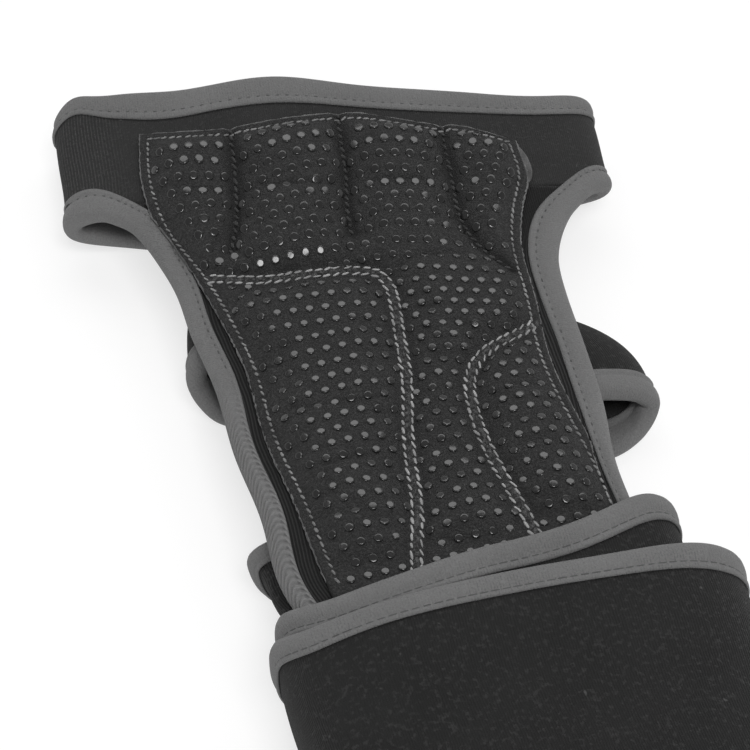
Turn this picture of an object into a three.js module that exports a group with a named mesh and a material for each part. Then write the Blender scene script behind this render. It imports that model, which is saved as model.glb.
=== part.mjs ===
import * as THREE from 'three';

// A right-hand weightlifting glove with an open back and a wrapped wrist, lying palm up.
// X runs to the thumb side, Y to the fingers and Z up. All sizes are in millimetres.

// Sheet materials
const neopreneWall = 2.2;
const suedeWall = 1.2;
const tapeWall = 0.6;
const hookTapeWall = 0.5;
const seamGap = 0.3;

// Bindings: a knitted tape folded over a cut edge
const bindingWidth = 6.2;
const bindingNose = 0.9;

// Knuckle band: the loop that all four fingers pass through
const knuckleHalfWidth = 55.3;
const knuckleHalfHeight = 8.2;
const knuckleBandHeight = 29.5;
const knuckleBandY = 49.5;
const knuckleCentreX = 1.2;
const knucklePeakRise = 3.5;
const knucklePeakX = -8;
const knucklePeakSpread = 22;

// Palm panel
const palmLength = 160;
const palmHalfWidth = 40;
const palmTopHeight = 18.5;

// Grip patch on the palm
const patchLength = 118;
const patchHalfWidth = 38;
const patchFootY = -51;
const padRise = 2.4;
const channelHalfWidth = 3.2;
const patchHem = 4;

// Hand strap across the back of the hand
const handStrapHalfWidth = 43;
const handStrapWidth = 30;
const handStrapY = 12;
const handStrapCentreX = 10;
const handStrapFlare = 14;

// Cuff: the back half of the wrist
const cuffHalfWidth = 35;
const cuffHeight = 12.2;
const cuffTopY = -29;
const cuffCentreX = 7.6;

// Wrist wrap: one strap wound nearly twice round the wrist
const wristHalfWidth = 36;
const wristHalfHeight = 9.6;
const wristSquareness = 3;
const wristCentreX = 13.8;
const wrapHeight = 74;
const wrapTopY = -44.5;
const wrapTaper = 0.1;
const cuffEndInset = 8;
const lapPitch = 4.3;
const hookTabStart = 505;
const hookTabEnd = 566;
const hookTabMargin = 11;

// The wrist leans toward the thumb side as it leaves the palm
const wristLean = 0.105;

// How many flat faces stand for each curve
const ringSteps = 42;
const strapSteps = 32;
const wrapSteps = 62;
const palmColumns = 10;
const palmRows = 18;
const patchColumns = 22;
const patchRows = 28;

// The cuff ends a little inside the wrap's lower edge.
const cuffLength = cuffTopY - (wrapTopY - wrapHeight) - cuffEndInset;

// Heights above the surface that the glove lies on
const bindingHalf = neopreneWall / 2 + seamGap + tapeWall;
const bindingProud = bindingHalf - neopreneWall / 2;
const floorRise = bindingProud;

// Edges of the knuckle band, from the little finger's end (-1) to the index finger's (1).
// low and high are how far its two edges step toward the fingers, back how much further the
// wrist edge steps on the back of the hand, all as shares of the band's height.
const knuckleEdges = [
  { at: -1.00, low: 0.115, high: 1.140, back: 0.16 },
  { at: -0.80, low: 0.095, high: 1.230, back: 0.12 },
  { at: -0.50, low: 0.060, high: 1.130, back: 0.04 },
  { at: -0.15, low: 0.015, high: 1.065, back: 0.00 },
  { at: 0.15, low: -0.015, high: 0.960, back: 0.00 },
  { at: 0.50, low: -0.060, high: 0.850, back: 0.04 },
  { at: 0.80, low: -0.100, high: 0.770, back: 0.12 },
  { at: 1.00, low: -0.120, high: 0.800, back: 0.18 },
];

// The knuckle band's half width as a share of the palm's.
const bandShare = knuckleHalfWidth / palmHalfWidth;

// Front of the hand volume, from the wrist end (0) to the knuckle band (1).
// centre, left and right are shares of the palm's half width, base and rise of its height.
const frontSections = [
  { at: 0.00, centre: 0.46, left: 0.90, right: 0.84, base: 0.62, rise: 0.52 },
  { at: 0.20, centre: 0.38, left: 0.93, right: 0.88, base: 0.62, rise: 0.52 },
  { at: 0.38, centre: 0.28, left: 0.88, right: 0.88, base: 0.61, rise: 0.53 },
  { at: 0.50, centre: 0.22, left: 1.02, right: 0.93, base: 0.56, rise: 0.54 },
  { at: 0.65, centre: 0.16, left: 1.10, right: 1.06, base: 0.50, rise: 0.52 },
  { at: 0.82, centre: 0.10, left: 1.20, right: 1.20, base: 0.49, rise: 0.49 },
  {
    at: 1,
    centre: knuckleCentreX / palmHalfWidth,
    left: bandShare,
    right: bandShare,
    base: (floorRise + knuckleHalfHeight) / palmTopHeight,
    rise: knuckleHalfHeight / palmTopHeight,
  },
];

// Cut outline of the palm panel: left and right edges as shares of its half width. Its last row
// is where it meets the knuckle band, at a share of the band's half width.
const palmOutline = [
  { at: 0.000, left: -0.19, right: 1.12 },
  { at: 0.200, left: -0.32, right: 1.07 },
  { at: 0.385, left: -0.450, right: 1.005 },
  { at: 0.430, left: -0.540, right: 0.985 },
  { at: 0.520, left: -0.585, right: 0.975 },
  { at: 0.620, left: -0.655, right: 0.990 },
  { at: 0.720, left: -0.722, right: 0.985 },
  { at: 0.800, left: -0.782, right: 0.965 },
  { at: 0.860, left: -0.820, right: 0.985 },
  { at: 0.910, left: -0.885, right: 1.040 },
  { at: 0.950, left: -0.955, right: 1.110 },
  { at: 0.980, left: -1.040, right: 1.190 },
  { at: 1.000, left: -0.810 * bandShare, right: 0.904 * bandShare },
];

// Cut outline of the grip patch, from its foot under the wrap to its top on the knuckle band.
const patchOutline = [
  { at: 0.00, left: -0.37, right: 1.00 },
  { at: 0.20, left: -0.47, right: 0.96 },
  { at: 0.38, left: -0.57, right: 0.86 },
  { at: 0.55, left: -0.65, right: 0.86 },
  { at: 0.68, left: -0.77, right: 0.88 },
  { at: 0.80, left: -0.93, right: 0.94 },
  { at: 0.90, left: -1.00, right: 1.01 },
  { at: 1.00, left: -0.97, right: 1.00 },
];

// Top edge of the grip patch, from its little finger side (-1) to its index side (1): how far
// it steps up or down, as a share of its length.
const patchTop = [
  { at: -1.00, step: 0.032 },
  { at: -0.55, step: 0.010 },
  { at: -0.15, step: 0.022 },
  { at: 0.20, step: 0.022 },
  { at: 0.55, step: -0.010 },
  { at: 0.75, step: -0.025 },
  { at: 1.00, step: -0.070 },
];

// Padded cells of the grip patch. Sides, foot and head are shares of its half width and length.
const padCells = [
  { left: -1.00, right: -0.51, foot: 0.66, head: 1.00 },
  { left: -0.51, right: 0.065, foot: 0.68, head: 1.00 },
  { left: 0.065, right: 0.62, foot: 0.70, head: 1.00 },
  { left: 0.62, right: 1.02, foot: 0.66, head: 1.00 },
  { left: -0.90, right: 0.14, foot: -0.10, head: 0.655 },
  { left: 0.42, right: 1.05, foot: -0.10, head: 0.47 },
];

// The hand strap's loop, from under the thumb side of the palm round the back of the hand.
// across is a share of its half width, up of its height, wrist and finger of its width.
const handStrapLoop = [
  { at: 0.00, across: 0.46, up: 1.00, wrist: -0.55, finger: 0.24 },
  { at: 0.06, across: 0.58, up: 0.86, wrist: -0.55, finger: 0.26 },
  { at: 0.14, across: 0.78, up: 0.80, wrist: -0.54, finger: 0.28 },
  { at: 0.21, across: 0.94, up: 0.64, wrist: -0.53, finger: 0.30 },
  { at: 0.26, across: 1.00, up: 0.38, wrist: -0.54, finger: 0.30 },
  { at: 0.32, across: 0.92, up: 0.08, wrist: -0.66, finger: 0.30 },
  { at: 0.38, across: 0.74, up: 0.00, wrist: -0.76, finger: 0.32 },
  { at: 0.50, across: 0.30, up: 0.00, wrist: -0.55, finger: 0.45 },
  { at: 0.58, across: -0.04, up: 0.00, wrist: -0.43, finger: 0.57 },
  { at: 0.64, across: -0.30, up: 0.00, wrist: -0.34, finger: 0.66 },
  { at: 0.75, across: -0.74, up: 0.02, wrist: -0.20, finger: 0.80 },
  { at: 0.80, across: -0.91, up: 0.14, wrist: -0.13, finger: 0.84 },
  { at: 0.86, across: -1.00, up: 0.44, wrist: 0.04, finger: 0.86 },
  { at: 0.91, across: -0.95, up: 0.76, wrist: 0.12, finger: 0.86 },
  { at: 0.95, across: -0.82, up: 0.84, wrist: 0.13, finger: 0.86 },
  { at: 1.00, across: -0.66, up: 1.00, wrist: 0.13, finger: 0.86 },
];

// The cuff's section, thumb side first, and how far its finger edge steps back.
const cuffLoop = [
  { at: 0.00, across: 0.56, up: 1.00, step: 0.00 },
  { at: 0.08, across: 0.70, up: 0.83, step: 0.00 },
  { at: 0.16, across: 0.92, up: 0.77, step: 0.00 },
  { at: 0.24, across: 1.00, up: 0.54, step: 0.00 },
  { at: 0.31, across: 0.93, up: 0.18, step: 0.02 },
  { at: 0.38, across: 0.74, up: 0.00, step: 0.03 },
  { at: 0.46, across: 0.36, up: 0.00, step: 0.05 },
  { at: 0.56, across: -0.36, up: 0.00, step: 0.05 },
  { at: 0.64, across: -0.74, up: 0.02, step: 0.03 },
  { at: 0.72, across: -0.93, up: 0.20, step: 0.02 },
  { at: 0.80, across: -1.00, up: 0.56, step: 0.00 },
  { at: 0.87, across: -0.93, up: 0.77, step: 0.00 },
  { at: 0.93, across: -0.76, up: 0.83, step: 0.00 },
  { at: 1.00, across: -0.60, up: 1.00, step: 0.00 },
];

// How the cuff closes up under the wrap, from its wrist end (0) to its finger edge (1).
// wide and slide are shares of its half width, foot of its height.
const cuffSections = [
  { at: 0.00, wide: 0.740, foot: 0.64, slide: 0.07 },
  { at: 0.45, wide: 0.780, foot: 0.64, slide: 0.06 },
  { at: 0.78, wide: 0.830, foot: 0.65, slide: 0.05 },
  { at: 0.86, wide: 0.890, foot: 0.65, slide: 0.03 },
  { at: 0.93, wide: 0.970, foot: 0.40, slide: 0.01 },
  { at: 1.00, wide: 1.000, foot: 0.10, slide: 0.00 },
];

// The wrap's winding: one row each quarter turn or so. wide is a share of the wrist's half
// width, laps the number of strap pitches it stands out, slide and drop shares of a binding.
const wrapWinding = [
  { at: -90, wide: 0.940, laps: 0.00, slide: 0.00, drop: -0.05 },
  { at: 0, wide: 0.915, laps: 0.25, slide: 0.00, drop: 0.36 },
  { at: 90, wide: 0.960, laps: 0.50, slide: 0.00, drop: 0.40 },
  { at: 135, wide: 0.985, laps: 0.62, slide: 0.00, drop: -0.10 },
  { at: 180, wide: 1.005, laps: 0.75, slide: 0.00, drop: -0.50 },
  { at: 215, wide: 1.010, laps: 0.85, slide: 0.02, drop: -0.75 },
  { at: 270, wide: 1.085, laps: 1.00, slide: 0.20, drop: -1.20 },
  { at: 360, wide: 1.105, laps: 1.25, slide: 0.25, drop: -2.10 },
  { at: 450, wide: 1.130, laps: 1.50, slide: 0.25, drop: -1.15 },
  { at: 540, wide: 1.140, laps: 1.75, slide: 0.20, drop: -1.14 },
  { at: 562, wide: 1.140, laps: 1.81, slide: 0.20, drop: -1.14 },
];

// Folded section of a binding, outer face first. reach is 1 at the lip and 0 at the edge, nose
// how much of the folded nose stands out past the edge, half the height above its middle.
const bindingSection = [
  { reach: 1, nose: 0, half: bindingHalf },
  { reach: 0, nose: 1, half: bindingHalf * 0.7 },
  { reach: 0, nose: 1, half: -bindingHalf * 0.7 },
  { reach: 1, nose: 0, half: -bindingHalf },
  { reach: 1, nose: 0, half: tapeWall - bindingHalf },
  { reach: 0, nose: seamGap / bindingNose, half: tapeWall - bindingHalf },
  { reach: 0, nose: seamGap / bindingNose, half: bindingHalf - tapeWall },
  { reach: 1, nose: 0, half: bindingHalf - tapeWall },
];

// Reads a smooth curve through one column of a table.
function read(table, column, at) {
  const last = table.length - 1;
  let row = 0;
  while (row < last - 1 && at > table[row + 1].at) row += 1;
  const from = table[row];
  const to = table[row + 1];
  const slope = (a, b) => (b[column] - a[column]) / (b.at - a.at);
  const middle = slope(from, to);
  const before = row > 0 ? (slope(table[row - 1], from) + middle) / 2 : middle;
  const after = row < last - 1 ? (middle + slope(to, table[row + 2])) / 2 : middle;
  const span = to.at - from.at;
  const t = THREE.MathUtils.clamp((at - from.at) / span, 0, 1);
  const rise = t * t * (3 - 2 * t);
  const lift = (t * (1 - t) ** 2 * before - t * t * (1 - t) * after) * span;
  return from[column] + (to[column] - from[column]) * rise + lift;
}

// A round number's sine or cosine, squared off so that an oval has fuller sides.
function squared(value, power) {
  return Math.sign(value) * Math.abs(value) ** power;
}

function blend(a, b, t) {
  return a + (b - a) * t;
}

function shares(count) {
  return Array.from({ length: count + 1 }, (_, i) => i / count);
}

// Unit normal of a surface of two parameters, by small steps along each.
function normalOf(surface, u, v) {
  const step = 1e-3;
  const alongU = surface(u + step, v).sub(surface(u - step, v));
  const alongV = surface(u, v + step).sub(surface(u, v - step));
  return alongU.cross(alongV).normalize();
}

// Turns vertex positions and triangles into a mesh geometry whose faces point out.
function closedGeometry(points, triangles) {
  let volume = 0;
  const cross = new THREE.Vector3();
  for (const [a, b, c] of triangles) {
    volume += points[a].dot(cross.crossVectors(points[b], points[c]));
  }
  const turned = volume < 0 ? triangles.map(([a, b, c]) => [a, c, b]) : triangles;
  const geometry = new THREE.BufferGeometry();
  const positions = points.flatMap((p) => [p.x, p.y, p.z]);
  geometry.setAttribute('position', new THREE.Float32BufferAttribute(positions, 3));
  geometry.setIndex(turned.flat());
  geometry.computeVertexNormals();
  return geometry;
}

// Two triangles for a quad, split along its shorter diagonal.
function splitQuad(points, [a, b, c, d]) {
  const across = points[a].distanceToSquared(points[c]);
  const other = points[b].distanceToSquared(points[d]);
  return across <= other ? [[a, b, c], [a, c, d]] : [[a, b, d], [b, c, d]];
}

// A wall between two grids of points with as many rows and columns. Where it is closed,
// the last column meets the first; open sides get rims.
function wallBetween(outer, inner, closed) {
  const rows = outer.length;
  const columns = outer[0].length;
  const points = [...outer.flat(), ...inner.flat()];
  const under = rows * columns;
  const spot = (row, column) => row * columns + (column % columns);
  const triangles = [];
  const quad = (...corners) => triangles.push(...splitQuad(points, corners));
  const reach = closed ? columns : columns - 1;
  for (let row = 0; row < rows - 1; row += 1) {
    for (let column = 0; column < reach; column += 1) {
      const a = spot(row, column);
      const b = spot(row, column + 1);
      const c = spot(row + 1, column + 1);
      const d = spot(row + 1, column);
      quad(a, b, c, d);
      quad(under + a, under + d, under + c, under + b);
    }
  }
  for (let column = 0; column < reach; column += 1) {
    const foot = [spot(0, column), spot(0, column + 1)];
    const head = [spot(rows - 1, column), spot(rows - 1, column + 1)];
    quad(foot[1], foot[0], under + foot[0], under + foot[1]);
    quad(head[0], head[1], under + head[1], under + head[0]);
  }
  for (let row = 0; row < rows - 1 && !closed; row += 1) {
    const left = [spot(row, 0), spot(row + 1, 0)];
    const right = [spot(row, columns - 1), spot(row + 1, columns - 1)];
    quad(left[0], left[1], under + left[1], under + left[0]);
    quad(right[1], right[0], under + right[0], under + right[1]);
  }
  return closedGeometry(points, triangles);
}

// A sheet of even thickness under an outer face given as a surface of two parameters.
function sheet(surface, columnsAt, rowsAt, wall, closed = false) {
  const outer = rowsAt.map((v) => columnsAt.map((u) => surface(u, v)));
  const inner = rowsAt.map((v, row) => columnsAt.map((u, column) => (
    outer[row][column].clone().addScaledVector(normalOf(surface, u, v), -wall)
  )));
  return wallBetween(outer, inner, closed);
}

// The binding tape folded over an edge. rail(t, depth) gives the outer face of the sheet
// at a depth inward from the edge, with its normal.
function binding(rail, stepsAt, closed = false) {
  const rings = stepsAt.map((t) => {
    const edge = rail(t, 0);
    const lip = rail(t, bindingWidth);
    const inward = rail(t, 1).point.sub(edge.point).normalize();
    return bindingSection.map((corner) => {
      const from = corner.reach ? lip : edge;
      return from.point.clone()
        .addScaledVector(from.normal, corner.half - neopreneWall / 2)
        .addScaledVector(inward, -corner.nose * bindingNose);
    });
  });
  const points = rings.flat();
  const around = bindingSection.length;
  const triangles = [];
  const reach = closed ? rings.length : rings.length - 1;
  for (let ring = 0; ring < reach; ring += 1) {
    const next = (ring + 1) % rings.length;
    for (let k = 0; k < around; k += 1) {
      const a = ring * around + k;
      const b = ring * around + (k + 1) % around;
      const c = next * around + (k + 1) % around;
      const d = next * around + k;
      triangles.push(...splitQuad(points, [a, b, c, d]));
    }
  }
  if (!closed) {
    // The U-shaped ends: outer and inner corners pair off round the fold.
    for (const start of [0, (rings.length - 1) * around]) {
      for (const [outer, inner] of [[0, 7], [1, 6], [2, 5]]) {
        const face = [outer, outer + 1, inner - 1, inner].map((k) => start + k);
        triangles.push(...splitQuad(points, start === 0 ? face.reverse() : face));
      }
    }
  }
  return closedGeometry(points, triangles);
}

// Edges of the palm panel and the knuckle band in plan

function palmFootY(x) {
  return knuckleBandY - palmLength + wristLean * (x - wristCentreX);
}

// A column of the knuckle band's table over a given x, in millimetres.
function bandEdge(x, column) {
  const share = THREE.MathUtils.clamp((x - knuckleCentreX) / knuckleHalfWidth, -1, 1);
  return read(knuckleEdges, column, share) * knuckleBandHeight;
}

function bandLowY(x, back = 0) {
  return knuckleBandY + bandEdge(x, 'low') + back * bandEdge(x, 'back');
}

function bandHighY(x) {
  return knuckleBandY + bandEdge(x, 'high');
}

// How far the knuckle band bulges up toward the middle of its finger edge.
function bandCrown(x, y) {
  const height = bandHighY(x) - bandLowY(x);
  const share = THREE.MathUtils.clamp((y - bandLowY(x)) / height, 0, 1);
  const peak = Math.exp(-(((x - knucklePeakX) / knucklePeakSpread) ** 2));
  return share * knucklePeakRise * peak;
}

// How far along the palm a place lies, and the palm's cut edges there.
function palmShare(x, y) {
  return THREE.MathUtils.clamp((y - palmFootY(x)) / (bandLowY(x) - palmFootY(x)), 0, 1);
}

function palmSides(at) {
  return ['left', 'right'].map((side) => read(palmOutline, side, at) * palmHalfWidth);
}

// Height of the palm side's outer face over a place, with the oval that it belongs to.
function frontHeight(x, y) {
  const at = palmShare(x, y);
  const centre = read(frontSections, 'centre', at) * palmHalfWidth;
  const side = x < centre ? 'left' : 'right';
  const reach = read(frontSections, side, at) * palmHalfWidth;
  const share = Math.min(Math.abs(x - centre) / reach, 0.995);
  const base = read(frontSections, 'base', at) * palmTopHeight;
  const rise = read(frontSections, 'rise', at) * palmTopHeight;
  return base + rise * (1 - share ** 3) ** (1 / 3);
}

// Palm panel: u runs across from the little finger side, v from the wrist end to the band.
function palmPlace(u, v) {
  const [left, right] = palmSides(v);
  const x = blend(left, right, u);
  const y = blend(palmFootY(x), bandLowY(x) - seamGap, v);
  return new THREE.Vector3(x, y, frontHeight(x, y));
}

// Knuckle band: u goes once round the loop, v from its finger edge to its wrist edge.
function bandPlace(u, v) {
  const turn = u * 2 * Math.PI;
  const power = 2 / 3;
  const x = knuckleCentreX + knuckleHalfWidth * squared(Math.cos(turn), power);
  const palmSide = Math.sin(turn) > 0;
  const back = THREE.MathUtils.smoothstep(-Math.sin(turn), -1, 1);
  const y = blend(bandHighY(x), bandLowY(x, back), v);
  const crown = palmSide ? bandCrown(x, y) : 0;
  const z = floorRise + knuckleHalfHeight * (1 + squared(Math.sin(turn), power)) + crown;
  return new THREE.Vector3(x, y, z);
}

// The place round the band, on its palm side, that lies over a given x.
function bandTurn(x) {
  const share = (x - knuckleCentreX) / knuckleHalfWidth;
  return Math.acos(squared(share, 1.5)) / (2 * Math.PI);
}

// Underside of the palm panel, where the straps of the back are sewn on.
function underPalm(x, y) {
  const [left, right] = palmSides(palmShare(x, y));
  const near = THREE.MathUtils.clamp(x, left + bindingWidth, right - bindingWidth);
  return frontHeight(near, y) - neopreneWall - seamGap;
}

// Hand strap: u goes round the loop from the thumb side, v from its wrist edge.
function handStrapPlace(u, v) {
  const across = read(handStrapLoop, 'across', u);
  const pull = handStrapFlare * squared(v, 2) * (across > 0 ? across : across / 5);
  const x = handStrapCentreX + handStrapHalfWidth * across - pull;
  const wrist = read(handStrapLoop, 'wrist', u) * handStrapWidth;
  const finger = read(handStrapLoop, 'finger', u) * handStrapWidth;
  const y = handStrapY + blend(wrist, finger, v);
  const up = read(handStrapLoop, 'up', u);
  return new THREE.Vector3(x, y, blend(floorRise, underPalm(x, y), up));
}

// Cuff: u goes round the back of the wrist from the thumb side, v from its wrist end.
function cuffPlace(u, v) {
  const across = read(cuffLoop, 'across', u);
  const wide = read(cuffSections, 'wide', v) * cuffHalfWidth;
  const slide = read(cuffSections, 'slide', v) * cuffHalfWidth;
  const lower = (1 - v) * cuffLength;
  const step = read(cuffLoop, 'step', u) * cuffLength * v;
  const x = cuffCentreX + slide + wide * across + wristLean * lower;
  const y = cuffTopY + wristLean * wide * across - step - lower;
  const foot = floorRise + read(cuffSections, 'foot', v) * cuffHeight;
  return new THREE.Vector3(x, y, blend(foot, underPalm(x, y), read(cuffLoop, 'up', u)));
}

// Wrist wrap: u is the angle wound, in degrees, v runs from its upper to its lower edge.
function wrapPlace(u, v) {
  const turn = THREE.MathUtils.degToRad(u);
  const power = 2 / wristSquareness;
  const lower = v * wrapHeight;
  const wide = read(wrapWinding, 'wide', u) * wristHalfWidth * (1 - wrapTaper * v);
  const high = wristHalfHeight + read(wrapWinding, 'laps', u) * lapPitch;
  const across = wide * squared(Math.cos(turn), power);
  const slide = read(wrapWinding, 'slide', u) * bindingWidth;
  const drop = read(wrapWinding, 'drop', u) * bindingWidth;
  const x = wristCentreX + slide + across + wristLean * lower;
  const y = wrapTopY + drop + wristLean * across - lower;
  const middle = floorRise + wristHalfHeight + lapPitch;
  return new THREE.Vector3(x, y, middle + high * squared(Math.sin(turn), power));
}

// Hook tab: a thin tape sewn under the strap's end, just past which its hooks show.
function hookTabPlace(u, v) {
  const margin = hookTabMargin / wrapHeight;
  const share = blend(margin, 1 - margin, v);
  const normal = normalOf(wrapPlace, u, share);
  return wrapPlace(u, share).addScaledVector(normal, -neopreneWall - seamGap);
}

// Relief of the grip patch: each padded cell swells between its sewn channels.
function padSwell(u, v, x) {
  let swell = 0;
  const half = channelHalfWidth / patchHalfWidth;
  for (const cell of padCells) {
    const across = Math.min(x - cell.left, cell.right - x) / half;
    const along = Math.min(v - cell.foot, cell.head - v) * patchLength / channelHalfWidth;
    const inside = THREE.MathUtils.clamp(Math.min(across, along), 0, 2) / 2;
    swell = Math.max(swell, Math.sin(inside * Math.PI / 2));
  }
  const side = Math.min(u, 1 - u) * 2 * patchHalfWidth / patchHem;
  const head = (1 - v) * patchLength / patchHem;
  const foot = (v * patchLength - patchHem) / (2 * patchHem);
  return swell * THREE.MathUtils.clamp(Math.min(side, head, foot), 0, 1);
}

// A place on the patch in plan. Where the palm's binding would run under its edge, the patch
// is cut back to the binding's lip.
function patchPlace(share, v) {
  let x = share * patchHalfWidth;
  const step = read(patchTop, 'step', share) * v * v;
  const y = patchFootY + (v + step) * patchLength + wristLean * x * (1 - v);
  const at = palmShare(x, y);
  if (at < 1) {
    const [left, right] = palmSides(at);
    x = THREE.MathUtils.clamp(x, left + bindingWidth + seamGap, right - bindingWidth - seamGap);
  }
  return new THREE.Vector2(x, y);
}

function patchGrid(columnsAt, rowsAt) {
  const outer = [];
  const inner = [];
  for (const v of rowsAt) {
    const left = read(patchOutline, 'left', v);
    const right = read(patchOutline, 'right', v);
    const outerRow = [];
    const innerRow = [];
    for (const u of columnsAt) {
      const share = blend(left, right, u);
      const place = patchPlace(share, v);
      const { x, y } = place;
      const z = frontHeight(x, y) + seamGap + bandCrown(x, y);
      innerRow.push(new THREE.Vector3(x, y, z));
      outerRow.push(new THREE.Vector3(x, y, z + suedeWall + padRise * padSwell(u, v, share)));
    }
    outer.push(outerRow);
    inner.push(innerRow);
  }
  return [outer, inner];
}

// Rails that the bindings follow: each gives the outer face at a depth in from the edge.

function faceOf(surface, u, v) {
  return { point: surface(u, v), normal: normalOf(surface, u, v) };
}

// Either edge of a sheet whose v runs along a height: start is its v = 0 edge.
function edgeRail(surface, height, start) {
  return (u, depth) => faceOf(surface, u, start ? depth / height : 1 - depth / height);
}

// The edge of the body: up the little finger side of the palm, round the wrist edge of the
// knuckle band and down the thumb side. Stations name the piece and the place along it.
function bodyRail(station, depth) {
  if (station.piece === 'band') {
    return faceOf(bandPlace, station.at, 1 - depth / knuckleBandHeight);
  }
  const [left, right] = palmSides(station.at);
  const share = depth / (right - left);
  return faceOf(palmPlace, station.piece === 'little' ? share : 1 - share, station.at);
}

const glove = new THREE.Group();

function add(name, geometry, material) {
  const mesh = new THREE.Mesh(geometry, material);
  mesh.name = name;
  glove.add(mesh);
}

function cloth(color, roughness) {
  return () => new THREE.MeshStandardMaterial({ color, roughness, metalness: 0 });
}

const neoprene = cloth(0x2f2f31, 0.95);
const knitTape = cloth(0x77777a, 0.9);
const suede = cloth(0x343434, 0.8);
const hookTape = cloth(0x18181a, 0.7);

// Rows of a sheet that is bound on both edges: its edges and the lips of the bindings.
function boundRows(height) {
  const lip = bindingWidth / height;
  return [0, lip, 1 - lip, 1];
}

const bandAround = shares(ringSteps).slice(0, -1).map((t) => t + 0.5 / ringSteps);

function addKnuckleBand() {
  const rows = boundRows(knuckleBandHeight);
  add('knuckle_band', sheet(bandPlace, bandAround, rows, neopreneWall, true), neoprene());
  const fingerEdge = edgeRail(bandPlace, knuckleBandHeight, true);
  add('knuckle_binding', binding(fingerEdge, bandAround, true), knitTape());
}

// Rows of the palm panel. The body's binding starts where the wrap uncovers the palm, and the
// rows are closer together where it turns the corner onto the knuckle band.
const palmCuff = 0.396;
const palmCorner = 0.92;
const cornerStep = 0.01;
const cornerRoom = 1;
const palmRowsAt = [
  0, palmCuff / 2,
  ...shares(palmRows).map((t) => blend(palmCuff, palmCorner, t)),
  ...[0.4, 0.75, 0.94, 1].map((t) => blend(palmCorner, 1, t)),
];

function addPalm() {
  add('palm_panel', sheet(palmPlace, shares(palmColumns), palmRowsAt, neopreneWall), neoprene());
  const sides = palmRowsAt.filter((v) => v >= palmCuff && v < 1);
  const little = sides.map((at) => ({ piece: 'little', at }));
  const thumb = sides.map((at) => ({ piece: 'thumb', at })).reverse();
  const [left, right] = palmSides(1);
  const corners = [bandTurn(left - cornerRoom), bandTurn(right + cornerRoom) + 1];
  const twice = [...bandAround, ...bandAround.map((at) => at + 1)];
  const [first, last] = [corners[0] + cornerStep, corners[1] - cornerStep];
  const between = twice.filter((at) => at > first && at < last);
  const band = [corners[0], ...between, corners[1]].map((at) => ({ piece: 'band', at }));
  add('body_binding', binding(bodyRail, [...little, ...band, ...thumb]), knitTape());
}

function addPatch() {
  const [outer, inner] = patchGrid(shares(patchColumns), shares(patchRows));
  add('grip_patch', wallBetween(outer, inner, false), suede());
}

// Ends of the straps' own bindings, which stop short of the palm panel.
const bindingStart = 0.09;
const bindingStop = 0.935;

function addHandStrap() {
  const around = shares(strapSteps);
  const rows = boundRows(handStrapWidth);
  add('hand_strap', sheet(handStrapPlace, around, rows, neopreneWall), neoprene());
  const bound = around.filter((u) => u > bindingStart && u < bindingStop);
  const wristEdge = edgeRail(handStrapPlace, handStrapWidth, true);
  const fingerEdge = edgeRail(handStrapPlace, handStrapWidth, false);
  add('strap_binding_wrist', binding(wristEdge, bound), knitTape());
  add('strap_binding_finger', binding(fingerEdge, bound), knitTape());
}

function addCuff() {
  const around = shares(strapSteps);
  const rows = cuffSections.map((section) => section.at);
  add('cuff', sheet(cuffPlace, around, rows, neopreneWall), neoprene());
  const bound = around.filter((u) => u > bindingStart && u < bindingStop);
  add('cuff_binding', binding(edgeRail(cuffPlace, cuffLength, false), bound), knitTape());
}

function addWrap() {
  const first = wrapWinding[0].at;
  const last = wrapWinding[wrapWinding.length - 1].at;
  const wound = shares(wrapSteps).map((t) => blend(first, last, t));
  add('wrist_wrap', sheet(wrapPlace, wound, shares(2), neopreneWall), neoprene());
  add('wrap_binding_upper', binding(edgeRail(wrapPlace, wrapHeight, true), wound), knitTape());
  add('wrap_binding_lower', binding(edgeRail(wrapPlace, wrapHeight, false), wound), knitTape());
  const tab = shares(6).map((t) => blend(hookTabStart, hookTabEnd, t));
  add('hook_tab', sheet(hookTabPlace, tab, shares(2), hookTapeWall), hookTape());
}

addPalm();
addKnuckleBand();
addPatch();
addHandStrap();
addCuff();
addWrap();

// The origin is under the middle of the glove, on the surface that it lies on.
const bounds = new THREE.Box3().setFromObject(glove);
const middle = bounds.getCenter(new THREE.Vector3());
glove.position.set(-middle.x, -middle.y, -bounds.min.z);

const root = new THREE.Group();
root.add(glove);

export default root;
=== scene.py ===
# %% [markdown]
# A weightlifting glove, palm up. The glove is a handful of flat cloths sewn into loops: a knuckle
# band, a palm panel with a dotted grip patch, a strap over the back of the hand, a cuff and a
# wrist wrap wound nearly twice. Each cut edge is folded into a grey knitted tape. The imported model
# gives the frame; every cloth is then made again here as a fine surface with its own finish.

# %% Load the frame
import math

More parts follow.
